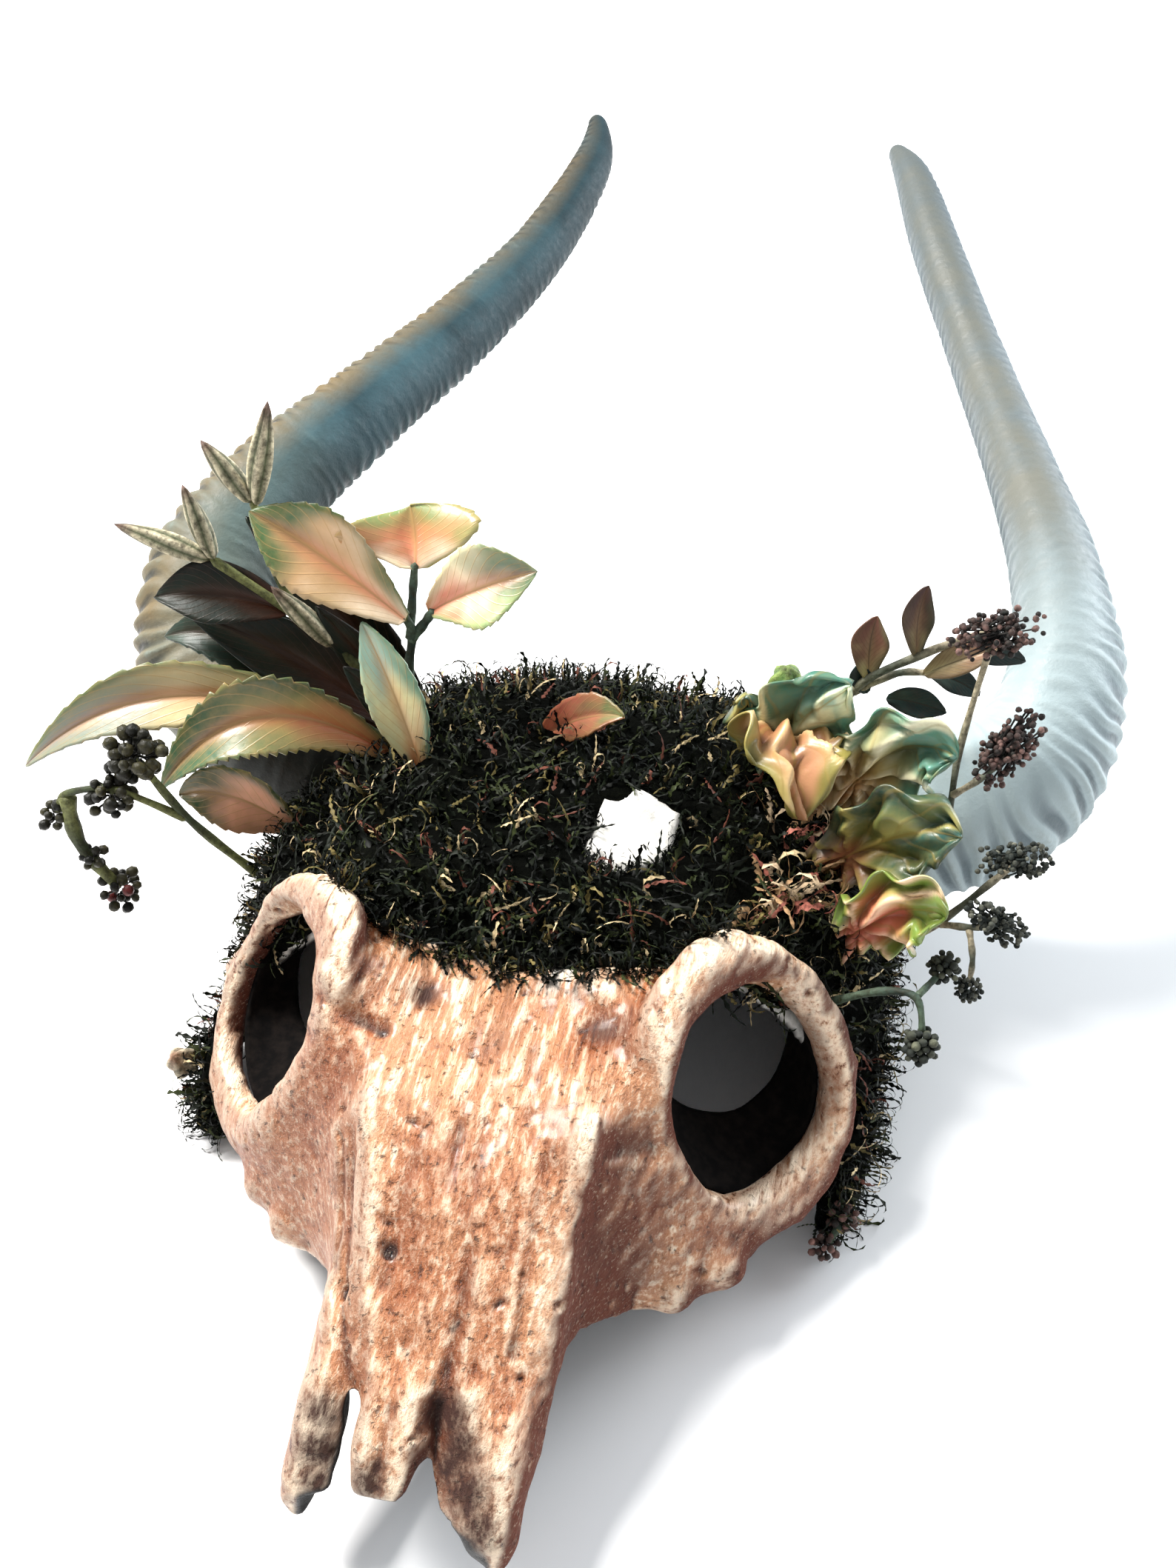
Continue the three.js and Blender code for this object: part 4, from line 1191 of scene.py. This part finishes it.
def dryPaint(name, roughness, shade):
    material, tree, shader = startFinish(name, roughness, 0.25)
    mottle = noiseField(tree, objectCoords(tree), 480.0, 5.0, 0.65)
    mottled = span(tree, mottle, 0.38, 0.66, 0.0, 0.8)
    setColour(tree, shader, mixed(tree, mottled, attribute(tree, "tint", "Color"), shade))
    bump(tree, shader, mottle, 0.7, 0.0008)
    return material


# roughness, number of veins, vein tone, gloss coat, sheen
leafFinishes = {
    "leafSmooth": (0.4, 62.0, tone(190, 150, 92), 0.2, 0.5),
    "leafDark": (0.4, 70.0, tone(64, 44, 32), 0.05, 0.2),
    "leafCrinkled": (0.4, 26.0, tone(150, 128, 66), 0.12, 0.5),
}
# roughness, tone in the mottling
dryFinishes = {
    "dryStem": (0.6, tone(40, 38, 22)),
    "dryBerry": (0.4, tone(14, 14, 8)),
    "drySeed": (0.7, tone(34, 38, 34)),
}
leafSmooth, leafDark, leafCrinkled = (leafPaint(name, *values) for name, values in leafFinishes.items())
dryStem, dryBerry, drySeed = (dryPaint(name, *values) for name, values in dryFinishes.items())

# Leaf colours: root, heart, rim, tip, rib; on crinkled leaves the rib tone is a painted highlight on the fold crests
# the near-white roots and hearts of the peach and cream-pink leaves are partly painted highlight
leafTones = {
    "creamPink": ((240, 214, 180), (204, 186, 138), (92, 108, 66), (128, 138, 128), (206, 112, 78)),
    "greenGold": ((190, 112, 76), (158, 144, 86), (48, 74, 40), (70, 104, 74), (200, 92, 58)),
    "tealCream": ((176, 88, 44), (222, 214, 156), (92, 134, 110), (146, 182, 166), (210, 146, 96)),
    "nightGreen": ((66, 34, 24), (16, 26, 18), (8, 15, 11), (30, 44, 36), (80, 46, 34)),
    "greyGreen": ((98, 50, 36), (32, 46, 34), (20, 31, 24), (58, 76, 66), (102, 60, 44)),
    # dustyPink's heart and rib are lightened as painted light against the shadow of the leaf above
    "dustyPink": ((214, 146, 114), (236, 170, 136), (44, 66, 36), (40, 66, 36), (236, 176, 142)),
    "crownRed": ((186, 78, 60), (196, 104, 78), (150, 96, 64), (92, 120, 70), (206, 130, 98)),
    "foilTeal": ((156, 110, 62), (176, 174, 112), (62, 120, 100), (124, 180, 166), (240, 236, 190)),
    "foilBrown": ((96, 46, 38), (150, 96, 62), (140, 132, 66), (206, 150, 112), (222, 190, 140)),
    "foilCream": ((168, 108, 60), (222, 202, 142), (76, 132, 110), (104, 164, 146), (252, 242, 208)),
    "foilOlive": ((190, 112, 90), (98, 104, 48), (28, 64, 48), (44, 88, 80), (170, 160, 92)),
    "foilPink": ((196, 100, 82), (216, 122, 98), (110, 140, 58), (134, 160, 76), (248, 208, 176)),
    "deepTeal": ((50, 72, 68), (22, 42, 42), (16, 34, 34), (22, 42, 42), (46, 66, 62)),
    "peachLeft": ((248, 226, 196), (206, 166, 120), (58, 90, 46), (58, 96, 54), (222, 126, 88)),
    "peachTop": ((250, 232, 204), (216, 142, 104), (140, 140, 88), (102, 134, 78), (214, 112, 78)),
    "peachRight": ((206, 104, 76), (246, 226, 192), (150, 172, 116), (70, 102, 84), (212, 110, 80)),
    "twigTan": ((178, 166, 116), (120, 82, 66), (94, 84, 60), (104, 58, 50), (160, 132, 96)),
    "twigBrown": ((130, 118, 84), (96, 74, 60), (60, 60, 46), (70, 44, 42), (140, 112, 84)),
    "twigPale": ((170, 150, 112), (140, 120, 86), (116, 96, 70), (150, 112, 90), (196, 180, 140)),
}
bladeSettings = {
    "fold": (0.34, 1.2),  # rise of the two halves from the rib, in half-widths, and its curve
    "cup": 0.16,  # the same for crinkled leaves
    "ribSink": (0.10, 0.12),  # depth and breadth of the sunk rib
    "sway": 0.035,
    "foldRoot": 0.24,  # folds of crinkled leaves run out from this place on the rib
    "crumple": 0.8,
    "steps": (22, 12),  # along and across
    "perTooth": 6,
    "pleatSteps": (60, 44),
    "thickness": 0.7,
    "sprigThickness": 0.5,
}


def foldWave(place):  # sharp folds: 0 in a valley, 1 on a ridge
    return 1 - abs(2 * (place - math.floor(place)) - 1)


def addBlade(bm, blade, settings, finish=0):
    *route, width, face, tones, seed, outline = blade
    root, middle, tip = (spot(point) for point in route)
    face = Vector(face)
    width, length = width * mm, (tip - root).length
    teeth, toothDepth = outline.get("teeth", (0, 0.0))
    pleats, pleatRise = outline.get("pleats", (0, 0.0))
    pleatRise *= mm
    rootTone, heart, rim, tipTone, ribAndCrestHighlight = (tone(*colour) for colour in leafTones[tones])
    foldRise, foldCurve = settings["fold"]
    ribDepth, ribBreadth = settings["ribSink"]

    def bladeHalf(t):
        if t in (0, 1):
            return 0.0
        swell = math.sin(math.pi * (0.06 + 0.94 * t) ** 1.15) ** (0.7 if pleats else 1.0)
        lobed = 1 + 0.13 * math.cos(8 * math.pi * t + seed) if pleats else 1 + 0.03 * math.sin(11 * t + seed)
        return (0.5 * width * swell + 0.5 * mm) * lobed

    def foldAt(q, t):  # fold height, its strength and the crumpling there
        away = Vector((q * bladeHalf(t), (t - settings["foldRoot"]) * length))
        bend = math.atan2(away.x, away.y) / math.pi
        crumple = noise.noise(Vector((q * 2.2 + seed, t * 4.2, seed * 2)))
        first = 0.55 * foldWave(1.1 * q + 2.3 * t + 0.5 * crumple + seed)
        crumple += first + 0.5 * foldWave(1.9 * t - 1.3 * q - 0.6 * crumple) - 0.5
        return foldWave(bend * pleats + 0.25 * crumple + seed), min(1.0, away.length / (0.3 * width)), crumple

    def pointAt(s, t):
        point, along = bezier(root, middle, tip, t)
        side = along.cross(face).normalized()
        up = side.cross(along)
        q = 2 * s - 1
        half = bladeHalf(t)
        saw = (t * teeth + 0.15 * math.sin(7 * t + seed)) % 1.0 if teeth else 0.0
        half *= 1 - toothDepth * saw * abs(q) ** 6
        high = half * (settings["cup"] * q * q if pleats else foldRise * abs(q) ** foldCurve)
        high -= ribDepth * half * math.exp(-((q / ribBreadth) ** 2))
        high += settings["sway"] * width * math.sin(9 * t + seed + q) * q * q
        if pleats:
            fold, reach, crumple = foldAt(q, t)
            high += (pleatRise * (fold - 0.5) + settings["crumple"] * pleatRise * crumple) * reach
        return point + side * (half * q) + up * high

    def tintAt(s, t):
        q = abs(2 * s - 1)
        wobble = noise.noise(Vector((s * 4 + seed, t * 5, seed))) * 0.42
        place = min(1.0, max(0.0, t + wobble * 0.6))
        if place < 0.4:
            colour = blendTone(rootTone, heart, place / 0.4)
        else:
            colour = blendTone(heart, tipTone, (place - 0.4) / 0.4)
        colour = blendTone(colour, rim, smoothStep(0.3, 1.0, q + wobble) * (1.0 if pleats or s > 0.5 else 0.35))
        if pleats:
            fold, reach, crumple = foldAt(2 * s - 1, t)
            colour = blendTone(colour, rootTone, 0.8 * (1 - reach))
            # painted highlight on the fold crests in the rib tone, and painted shade darkening the valleys
            colour = blendTone(colour, ribAndCrestHighlight, 0.75 * smoothStep(0.72, 1.0, fold) * reach)
            return tuple(c * (0.62 + 0.55 * fold) for c in colour)
        return blendTone(colour, ribAndCrestHighlight, 0.85 * math.exp(-(((q - 0.05) / 0.22) ** 2)) * (1 - 0.75 * t))

    along, across = settings["pleatSteps"] if pleats else settings["steps"]
    if teeth:
        along = max(16, settings["perTooth"] * teeth)
    bentGrid(bm, along, across, pointAt, tintAt, finish)


def thicken(piece, thickness):
    wall = piece.modifiers.new("thickness", "SOLIDIFY")
    wall.thickness = thickness * mm
    wall.offset = 0


frontUp = (0, -0.8, 0.6)
backUp = (0, -0.7, 0.7)
# node, piece, slot, finish, then blades: root, middle, tip, width, facing, colours, seed, teeth or pleats
leafTable = [
    ("leaf_long_left", "leafLongLeft", "leaf_smooth", leafSmooth, [
        ((-66, -1, 68), (-128, -24, 121), (-171, -42, 76), 20, (0.2, -0.7, 0.7), "creamPink", 1.0,
         {"teeth": (16, 0.10)}),
    ]),
    ("leaf_serrated_left", "leafSerratedLeft", "leaf_smooth", leafSmooth, [
        ((-60, -9, 70), (-98, -27, 118), (-127, -41, 73), 24, frontUp, "greenGold", 2.3, {"teeth": (20, 0.14)}),
    ]),
    ("leaf_upright_left", "leafUprightLeft", "leaf_smooth", leafSmooth, [
        ((-46, -27, 80), (-53, -23, 106), (-66, -12, 124), 16, (0.3, -0.9, 0.4), "tealCream", 4.1,
         {"teeth": (9, 0.06)}),
    ]),
    ("leaf_dark_left", "leafDarkLeft", "leaf_dark", leafDark, [
        ((-62, 9, 62), (-106, 0, 117), (-138, 0, 101), 23, backUp, "greyGreen", 1.7, {"teeth": (14, 0.10)}),
        ((-64, 4, 72), (-94, -2, 106), (-128, -1, 112), 19, backUp, "nightGreen", 2.7, {}),
        ((-58, -4, 76), (-62, -10, 94), (-74, -11, 106), 9, (0.2, -0.8, 0.5), "nightGreen", 3.7, {}),
    ]),
    ("leaf_dark_back", "leafDarkBack", "leaf_dark", leafDark, [
        ((-58, 17, 64), (-80, 16, 108), (-110, 14, 140), 22, backUp, "nightGreen", 5.7, {"teeth": (12, 0.08)}),
        ((-60, 12, 68), (-72, 6, 96), (-86, 2, 118), 11, (0.1, -0.8, 0.5), "nightGreen", 6.7, {}),
    ]),
    ("leaf_pink_left", "leafPinkLeft", "leaf_smooth", leafSmooth, [
        ((-90, -23, 44), (-106, -36, 76), (-124, -36, 67), 20, (-0.2, -0.8, 0.6), "dustyPink", 5.2,
         {"teeth": (8, 0.08)}),
    ]),
    ("leaf_crown", "leafCrown", "leaf_smooth", leafSmooth, [
        ((-14, -8, 84), (0, -8, 99), (14, -14, 102), 14, (0, -0.6, 0.8), "crownRed", 6.4, {"teeth": (8, 0.08)}),
    ]),
    ("leaf_crinkled_1", "leafCrinkledA", "leaf_crinkled", leafCrinkled, [
        ((58, 1, 72), (63, -14, 125), (70, -36, 90), 32, (0.1, 0.14, 0.99), "foilBrown", 1.1, {"pleats": (5, 6.0)}),
        ((62, 0, 78), (61, -9, 104), (79, -8, 119), 30, (0, -0.9, 0.4), "foilTeal", 2.4, {"pleats": (4, 5.0)}),
        ((60, 0, 80), (53, -5, 98), (49, -6, 110), 17, (-0.2, -0.9, 0.3), "foilOlive", 0.6, {"pleats": (3, 4.0)}),
    ]),
    ("leaf_crinkled_2", "leafCrinkledB", "leaf_crinkled", leafCrinkled, [
        ((75, -7, 66), (94, -12, 111), (110, -22, 108), 28, (0.2, -0.9, 0.4), "foilCream", 2.9, {"pleats": (5, 5.5)}),
    ]),
    ("leaf_crinkled_3", "leafCrinkledC", "leaf_crinkled", leafCrinkled, [
        ((74, -28, 58), (96, -40, 100), (114, -44, 98), 27, (0.1, -0.8, 0.6), "foilOlive", 3.6, {"pleats": (4, 5.0)}),
    ]),
    ("leaf_crinkled_4", "leafCrinkledD", "leaf_crinkled", leafCrinkled, [
        ((82, -50, 50), (99, -60, 91), (112, -62, 84), 22, (0.2, -0.8, 0.6), "foilPink", 4.8, {"pleats": (4, 5.0)}),
    ]),
]

for node, name, slot, finish, blades in leafTable:
    bm = startShape()
    for blade in blades:
        addBlade(bm, blade, bladeSettings)
    thicken(finishShape(bm, name, [finish], slot, [node]), bladeSettings["thickness"])
print("single leaves:", len(leafTable))


# Stems, buds and clusters of berries or seeds
stemSettings = {"stepsPerPiece": 7, "sides": 8, "tangent": 0.02, "knots": 0.12}
budSettings = {"ribs": 5, "ribRise": 0.16, "twist": 0.12, "steps": (12, 20)}
clusterSettings = {
    "many": 60,  # heads with more beads are filled inside and have fewer stalks
    "stalkEvery": 4,
    "stalk": 0.35,
    "stalkSides": 4,
    "bead": (7, 5),  # segments and rings
    "dent": 0.16,
    "redBead": tone(120, 44, 44),
}


def ringPoint(centre, side, up, radius, angle):
    return spot(centre + side * (radius * math.cos(angle)) + up * (radius * math.sin(angle)))


def addStem(bm, route, radius, colours, settings, finish=0, sides=None):
    rows = np.array(route, float)
    light, dark = colours
    nudge = settings["tangent"]

    def pointAt(s, t):
        centre = Vector(alongRows(rows, t))
        ahead, back = alongRows(rows, min(1, t + nudge)), alongRows(rows, max(0, t - nudge))
        along = (Vector(ahead) - Vector(back)).normalized()
        side = along.cross(Vector((0.3, 1, 0.2))).normalized()
        thick = radius * (1.12 - 0.25 * t) * (1 + settings["knots"] * math.sin(21 * t))
        return ringPoint(centre, side, side.cross(along), 0 if t in (0, 1) else thick, 2 * math.pi * s)

    def tintAt(s, t):
        return blendTone(dark, light, 0.5 + 0.5 * math.sin(9 * t))

    steps = settings["stepsPerPiece"] * (len(rows) - 1)
    bentGrid(bm, steps, sides or settings["sides"], pointAt, tintAt, finish, tube=True)


def addBud(bm, bud, colours, settings):
    start, end = Vector(bud[0]), Vector(bud[1])
    radius = bud[2]
    along = (end - start).normalized()
    side = along.cross(Vector((0, 1, 0.3))).normalized()
    up = along.cross(side)
    light, dark, tipTone = colours
    ribs = settings["ribs"]

    def pointAt(s, t):
        swell = radius * math.sin(math.pi * (0.06 + 0.92 * t) ** 0.85) ** 0.9
        swell *= 1 + settings["ribRise"] * math.cos(ribs * 2 * math.pi * s)
        angle = 2 * math.pi * (s + settings["twist"] * t)
        return ringPoint(start + along * ((end - start).length * t), side, up, 0 if t in (0, 1) else swell, angle)

    def tintAt(s, t):
        stripe = 0.5 + 0.5 * math.cos(ribs * 2 * math.pi * s)
        return blendTone(blendTone(dark, light, stripe**1.5), tipTone, smoothStep(0.7, 1.0, t))

    bentGrid(bm, *settings["steps"], pointAt, tintAt, tube=True)


def addCluster(bm, head, pick, colours, settings, finish):
    at, radius, count, bead, stretch, redShare = head
    centre, stretch = Vector(at), Vector(stretch)
    many = count > settings["many"]
    tint = bm.verts.layers.float_color["tint"]
    golden = math.pi * (3 - math.sqrt(5))
    segments, rings = settings["bead"]
    for index in range(count):
        high = 1 - 2 * (index + 0.5) / count
        ring = math.sqrt(1 - high * high)
        away = Vector((ring * math.cos(golden * index), ring * math.sin(golden * index), high))
        reach = radius * (pick.uniform(0.3, 1.0) ** 0.5 if many else pick.uniform(0.62, 0.98))
        at = centre + away * reach + stretch * pick.uniform(-1, 1)
        size = radius * bead * pick.uniform(0.75, 1.2)
        matrix = Matrix.Translation(spot(at)) @ Matrix.Rotation(pick.uniform(0, 3), 4, away)
        matrix = matrix @ Matrix.Diagonal((1, 0.9, 0.86, 1))
        made = bmesh.ops.create_uvsphere(
            bm, u_segments=segments, v_segments=rings, radius=size * mm, matrix=matrix, calc_uvs=True)
        colour = blendTone(colours[0], colours[1], pick.random() ** 1.6)
        if pick.random() < redShare:
            colour = settings["redBead"]
        dent = pick.uniform(0, 10)
        for vert in made["verts"]:
            vert.co += away * (settings["dent"] * size * mm * noise.noise(vert.co * 700 + Vector((dent, 0, 0))))
            lit = 0.75 + 0.5 * noise.noise(vert.co * 900)
            vert[tint] = (*(c * lit for c in colour), 1)
        for face in {face for vert in made["verts"] for face in vert.link_faces}:
            face.material_index = finish
            face.smooth = True
        if many and index % settings["stalkEvery"]:
            continue
        inner = centre + stretch * 0.2 + away * (radius * 0.2)
        addStem(bm, [inner, centre + away * reach * 0.6, at], settings["stalk"], (colours[0], colours[0]),
                stemSettings, finish, settings["stalkSides"])


oliveStem = (tone(120, 124, 74), tone(52, 62, 40))
darkStem = (tone(86, 104, 86), tone(38, 52, 46))
tanStem = (tone(176, 164, 138), tone(76, 82, 70))
stripedBud = (tone(226, 214, 182), tone(78, 86, 60), tone(84, 52, 46))
paleBud = (tone(222, 208, 180), tone(132, 110, 84), tone(120, 84, 62))
greenBud = (tone(150, 172, 92), tone(84, 116, 60), tone(120, 140, 80))
blackBerry = (tone(15, 15, 10), tone(82, 78, 50))
brownSeed = (tone(34, 28, 28), tone(146, 112, 104))
greySeed = (tone(30, 38, 36), tone(126, 126, 112))
greenSeed = (tone(34, 40, 36), tone(110, 112, 92))
pinkSeed = (tone(56, 40, 38), tone(158, 116, 106))
plain = (0, 0, 0)

# stems: route and radius; buds: root, tip, radius; heads: place, radius, beads, bead size, stretch, share of red beads
sprigTable = [
    {
        "node": "three_leaf_stem", "name": "threeLeafStem", "slot": "leaf_smooth", "finish": leafSmooth,
        "stemTones": darkStem,
        "stems": [
            ([(-55, 2, 78), (-56, -3, 100), (-53, -5, 117), (-55, -6, 124)], 1.3),
            ([(-54, -5, 114), (-53, -2, 128), (-52, 0, 139)], 1.1),
            ([(-54, -5, 114), (-49, -4, 121), (-46, -4, 126)], 1.2),
        ],
        "blades": [
            ((-54, -7, 123), (-80, -6, 145), (-101, -2, 152), 26, frontUp, "peachLeft", 1.4, {"teeth": (14, 0.06)}),
            ((-52, 0, 137), (-53, 5, 147), (-56, 12, 151), 42, (0, -0.6, 0.8), "peachTop", 3.1, {"teeth": (8, 0.05)}),
            ((-47, -4, 125), (-32, -4, 137), (-14, -4, 143), 24, frontUp, "peachRight", 2.2, {"teeth": (11, 0.07)}),
        ],
    },
    {
        "node": "bud_sprig", "name": "budSprig", "slot": "dry_sprig", "finish": leafDark,
        "stemTones": oliveStem,
        "stems": [
            ([(-64, 8, 76), (-76, 4, 96), (-92, 3, 112), (-119, 2, 132)], 1.4),
            ([(-92, 3, 112), (-98, 3, 130), (-102, 3, 154)], 1.1),
        ],
        "blades": [((-95, 3, 114), (-116, 0, 124), (-137, -3, 118), 19, backUp, "nightGreen", 7.0, {})],
        "budTones": stripedBud,
        "buds": [
            ((-118, 2, 131), (-148, 2, 140), 3.1),
            ((-117, 2, 131), (-124, 4, 155), 2.8),
            ((-98, 3, 131), (-88, -5, 142), 2.8),
            ((-82, 3, 103), (-96, -6, 129), 3.0),
            ((-102, 3, 152), (-115, 3, 171), 3.0),
            ((-101, 3, 151), (-92, 2, 186), 3.2),
        ],
    },
    {
        "node": "berry_sprig", "name": "berrySprig", "slot": "dry_sprig", "finish": dryBerry,
        "stemTones": oliveStem,
        "stems": [
            ([(-97, -44, 44), (-114, -50, 70), (-128, -49, 92)], 1.4),
            ([(-114, -50, 70), (-134, -54, 82), (-151, -54, 78), (-156, -54, 70)], 1.2),
            ([(-151, -54, 78), (-150, -56, 60), (-140, -56, 42)], 2.3),
        ],
        "headTones": blackBerry,
        "heads": [
            ((-128, -49, 92), 8.6, 40, 0.27, (3, 0, 3), 0),
            ((-136, -54, 80), 6.6, 26, 0.32, (2, 0, 1), 0),
            ((-157, -54, 69), 4.8, 11, 0.40, plain, 0),
            ((-140, -56, 42), 6.9, 20, 0.28, plain, 0.2),
            ((-146, -57, 55), 4.2, 10, 0.42, plain, 0),
        ],
    },
    {
        "node": "round_bud", "name": "roundBud", "slot": "leaf_crinkled", "finish": leafSmooth,
        "stemTones": oliveStem,
        "stems": [([(58, 10, 76), (60, 6, 96), (60, 2, 110)], 1.2)],
        "budTones": greenBud,
        "buds": [((60, 3, 106), (60, 1, 116.5), 5)],
    },
    {
        "node": "leafy_twig", "name": "leafyTwig", "slot": "leaf_dark", "finish": leafDark,
        "stemTones": tanStem,
        "stems": [
            ([(74, 12, 72), (79, 8, 104), (98, 8, 121), (119, 10, 132)], 1.1),
            ([(79, 8, 104), (92, 10, 112), (102, 12, 112)], 0.9),
        ],
        "blades": [
            ((84, 8, 110), (82, 10, 122), (84, 12, 130), 10, frontUp, "twigTan", 1.2, {}),
            ((97, 8, 120), (94, 9, 134), (97, 9, 144), 8, frontUp, "twigBrown", 2.2, {}),
            ((106, 8, 125), (118, 11, 124), (128, 12, 120), 7, frontUp, "deepTeal", 3.2, {}),
            ((101, 12, 112), (110, 12, 112), (117, 12, 106), 7, frontUp, "deepTeal", 4.2, {}),
            ((99.5, 8, 114), (108, 6, 122), (119, 7, 127), 8, frontUp, "twigPale", 5.2, {}),
            ((90, 9, 103), (98, 8, 105), (108, 8, 101), 8, frontUp, "deepTeal", 6.2, {}),
            ((84, 8, 105), (81, 9, 110), (81, 9, 115), 6, frontUp, "deepTeal", 7.2, {}),
        ],
    },
    {
        "node": "seed_sprig_upper", "name": "seedSprigUpper", "slot": "seed_sprig", "finish": drySeed,
        "stemTones": tanStem,
        "stems": [
            ([(96, -16, 44), (110, -26, 78), (112, -12, 104), (116, -3, 136)], 1.1),
            ([(111, -20, 92), (120, -18, 100), (125, -14, 106)], 1.0),
        ],
        "headTones": brownSeed,
        "heads": [
            ((116, -3, 138), 6.6, 200, 0.15, (8, 1, 2.5), 0),
            ((125, -14, 107), 6.6, 240, 0.15, (4, 0, 8), 0),
        ],
    },
    {
        "node": "seed_sprig_lower", "name": "seedSprigLower", "slot": "seed_sprig", "finish": drySeed,
        "stemTones": tanStem,
        "stems": [
            ([(99, -36, 40), (112, -46, 66), (124, -44, 82), (131, -36, 84)], 1.1),
            ([(112, -46, 66), (120, -52, 72), (127, -52, 74)], 1.0),
            ([(120, -52, 72), (122, -58, 66), (122, -62, 60)], 0.9),
        ],
        "headTones": greySeed,
        "heads": [
            ((131, -36, 85), 5.2, 170, 0.17, (7, 1, 1), 0),
            ((127, -52, 75), 5.0, 140, 0.18, (6, 1, -4), 0),
            ((122, -63, 59), 4.0, 70, 0.18, plain, 0),
        ],
    },
    {
        "node": "side_sprig", "name": "sideSprig", "slot": "seed_sprig", "finish": drySeed,
        "stemTones": darkStem,
        "stems": [
            ([(82, -67, 48), (97, -72, 62), (107, -76, 66), (110, -82, 58)], 1.1),
            ([(107, -76, 66), (113, -66, 66)], 1.0),
        ],
        "headTones": greenSeed,
        "heads": [
            ((110, -84, 56), 5.2, 40, 0.25, plain, 0),
            ((114, -64, 67), 4.6, 34, 0.26, plain, 0),
        ],
    },
    {
        "node": "low_seed_cluster", "name": "lowSeedCluster", "slot": "seed_sprig", "finish": drySeed,
        "stemTones": darkStem,
        "stems": [([(92, -100, 14), (95, -112, 12), (92, -119, 8)], 1.2)],
        "headTones": pinkSeed,
        "heads": [
            ((95, -112, 12), 4.4, 20, 0.28, plain, 0),
            ((91, -120, 8), 4.3, 20, 0.28, plain, 0),
        ],
    },
    {
        "node": "side_pod", "name": "sidePod", "slot": "dry_sprig", "finish": dryStem,
        "stemTones": tanStem,
        "stems": [([(-98, -96, 18), (-105, -100, 19)], 1.2)],
        "budTones": paleBud,
        "buds": [((-104, -98, 13), (-104, -106, 27), 4.5)],
    },
]


def makeSprig(sprig):
    pick = random.Random(sprig["name"])
    bm = startShape()
    for route, radius in sprig["stems"]:
        addStem(bm, route, radius, sprig["stemTones"], stemSettings)
    for bud in sprig.get("buds", []):
        addBud(bm, bud, sprig["budTones"], budSettings)
    for head in sprig.get("heads", []):
        addCluster(bm, head, pick, sprig["headTones"], clusterSettings, 1)
    for blade in sprig.get("blades", []):
        addBlade(bm, blade, bladeSettings, 1)
    piece = finishShape(bm, sprig["name"], [dryStem, sprig["finish"]], sprig["slot"], [sprig["node"]])
    if sprig.get("blades"):
        thicken(piece, bladeSettings["sprigThickness"])
    print(sprig["name"], len(piece.data.polygons), "faces")


for sprig in sprigTable:
    makeSprig(sprig)
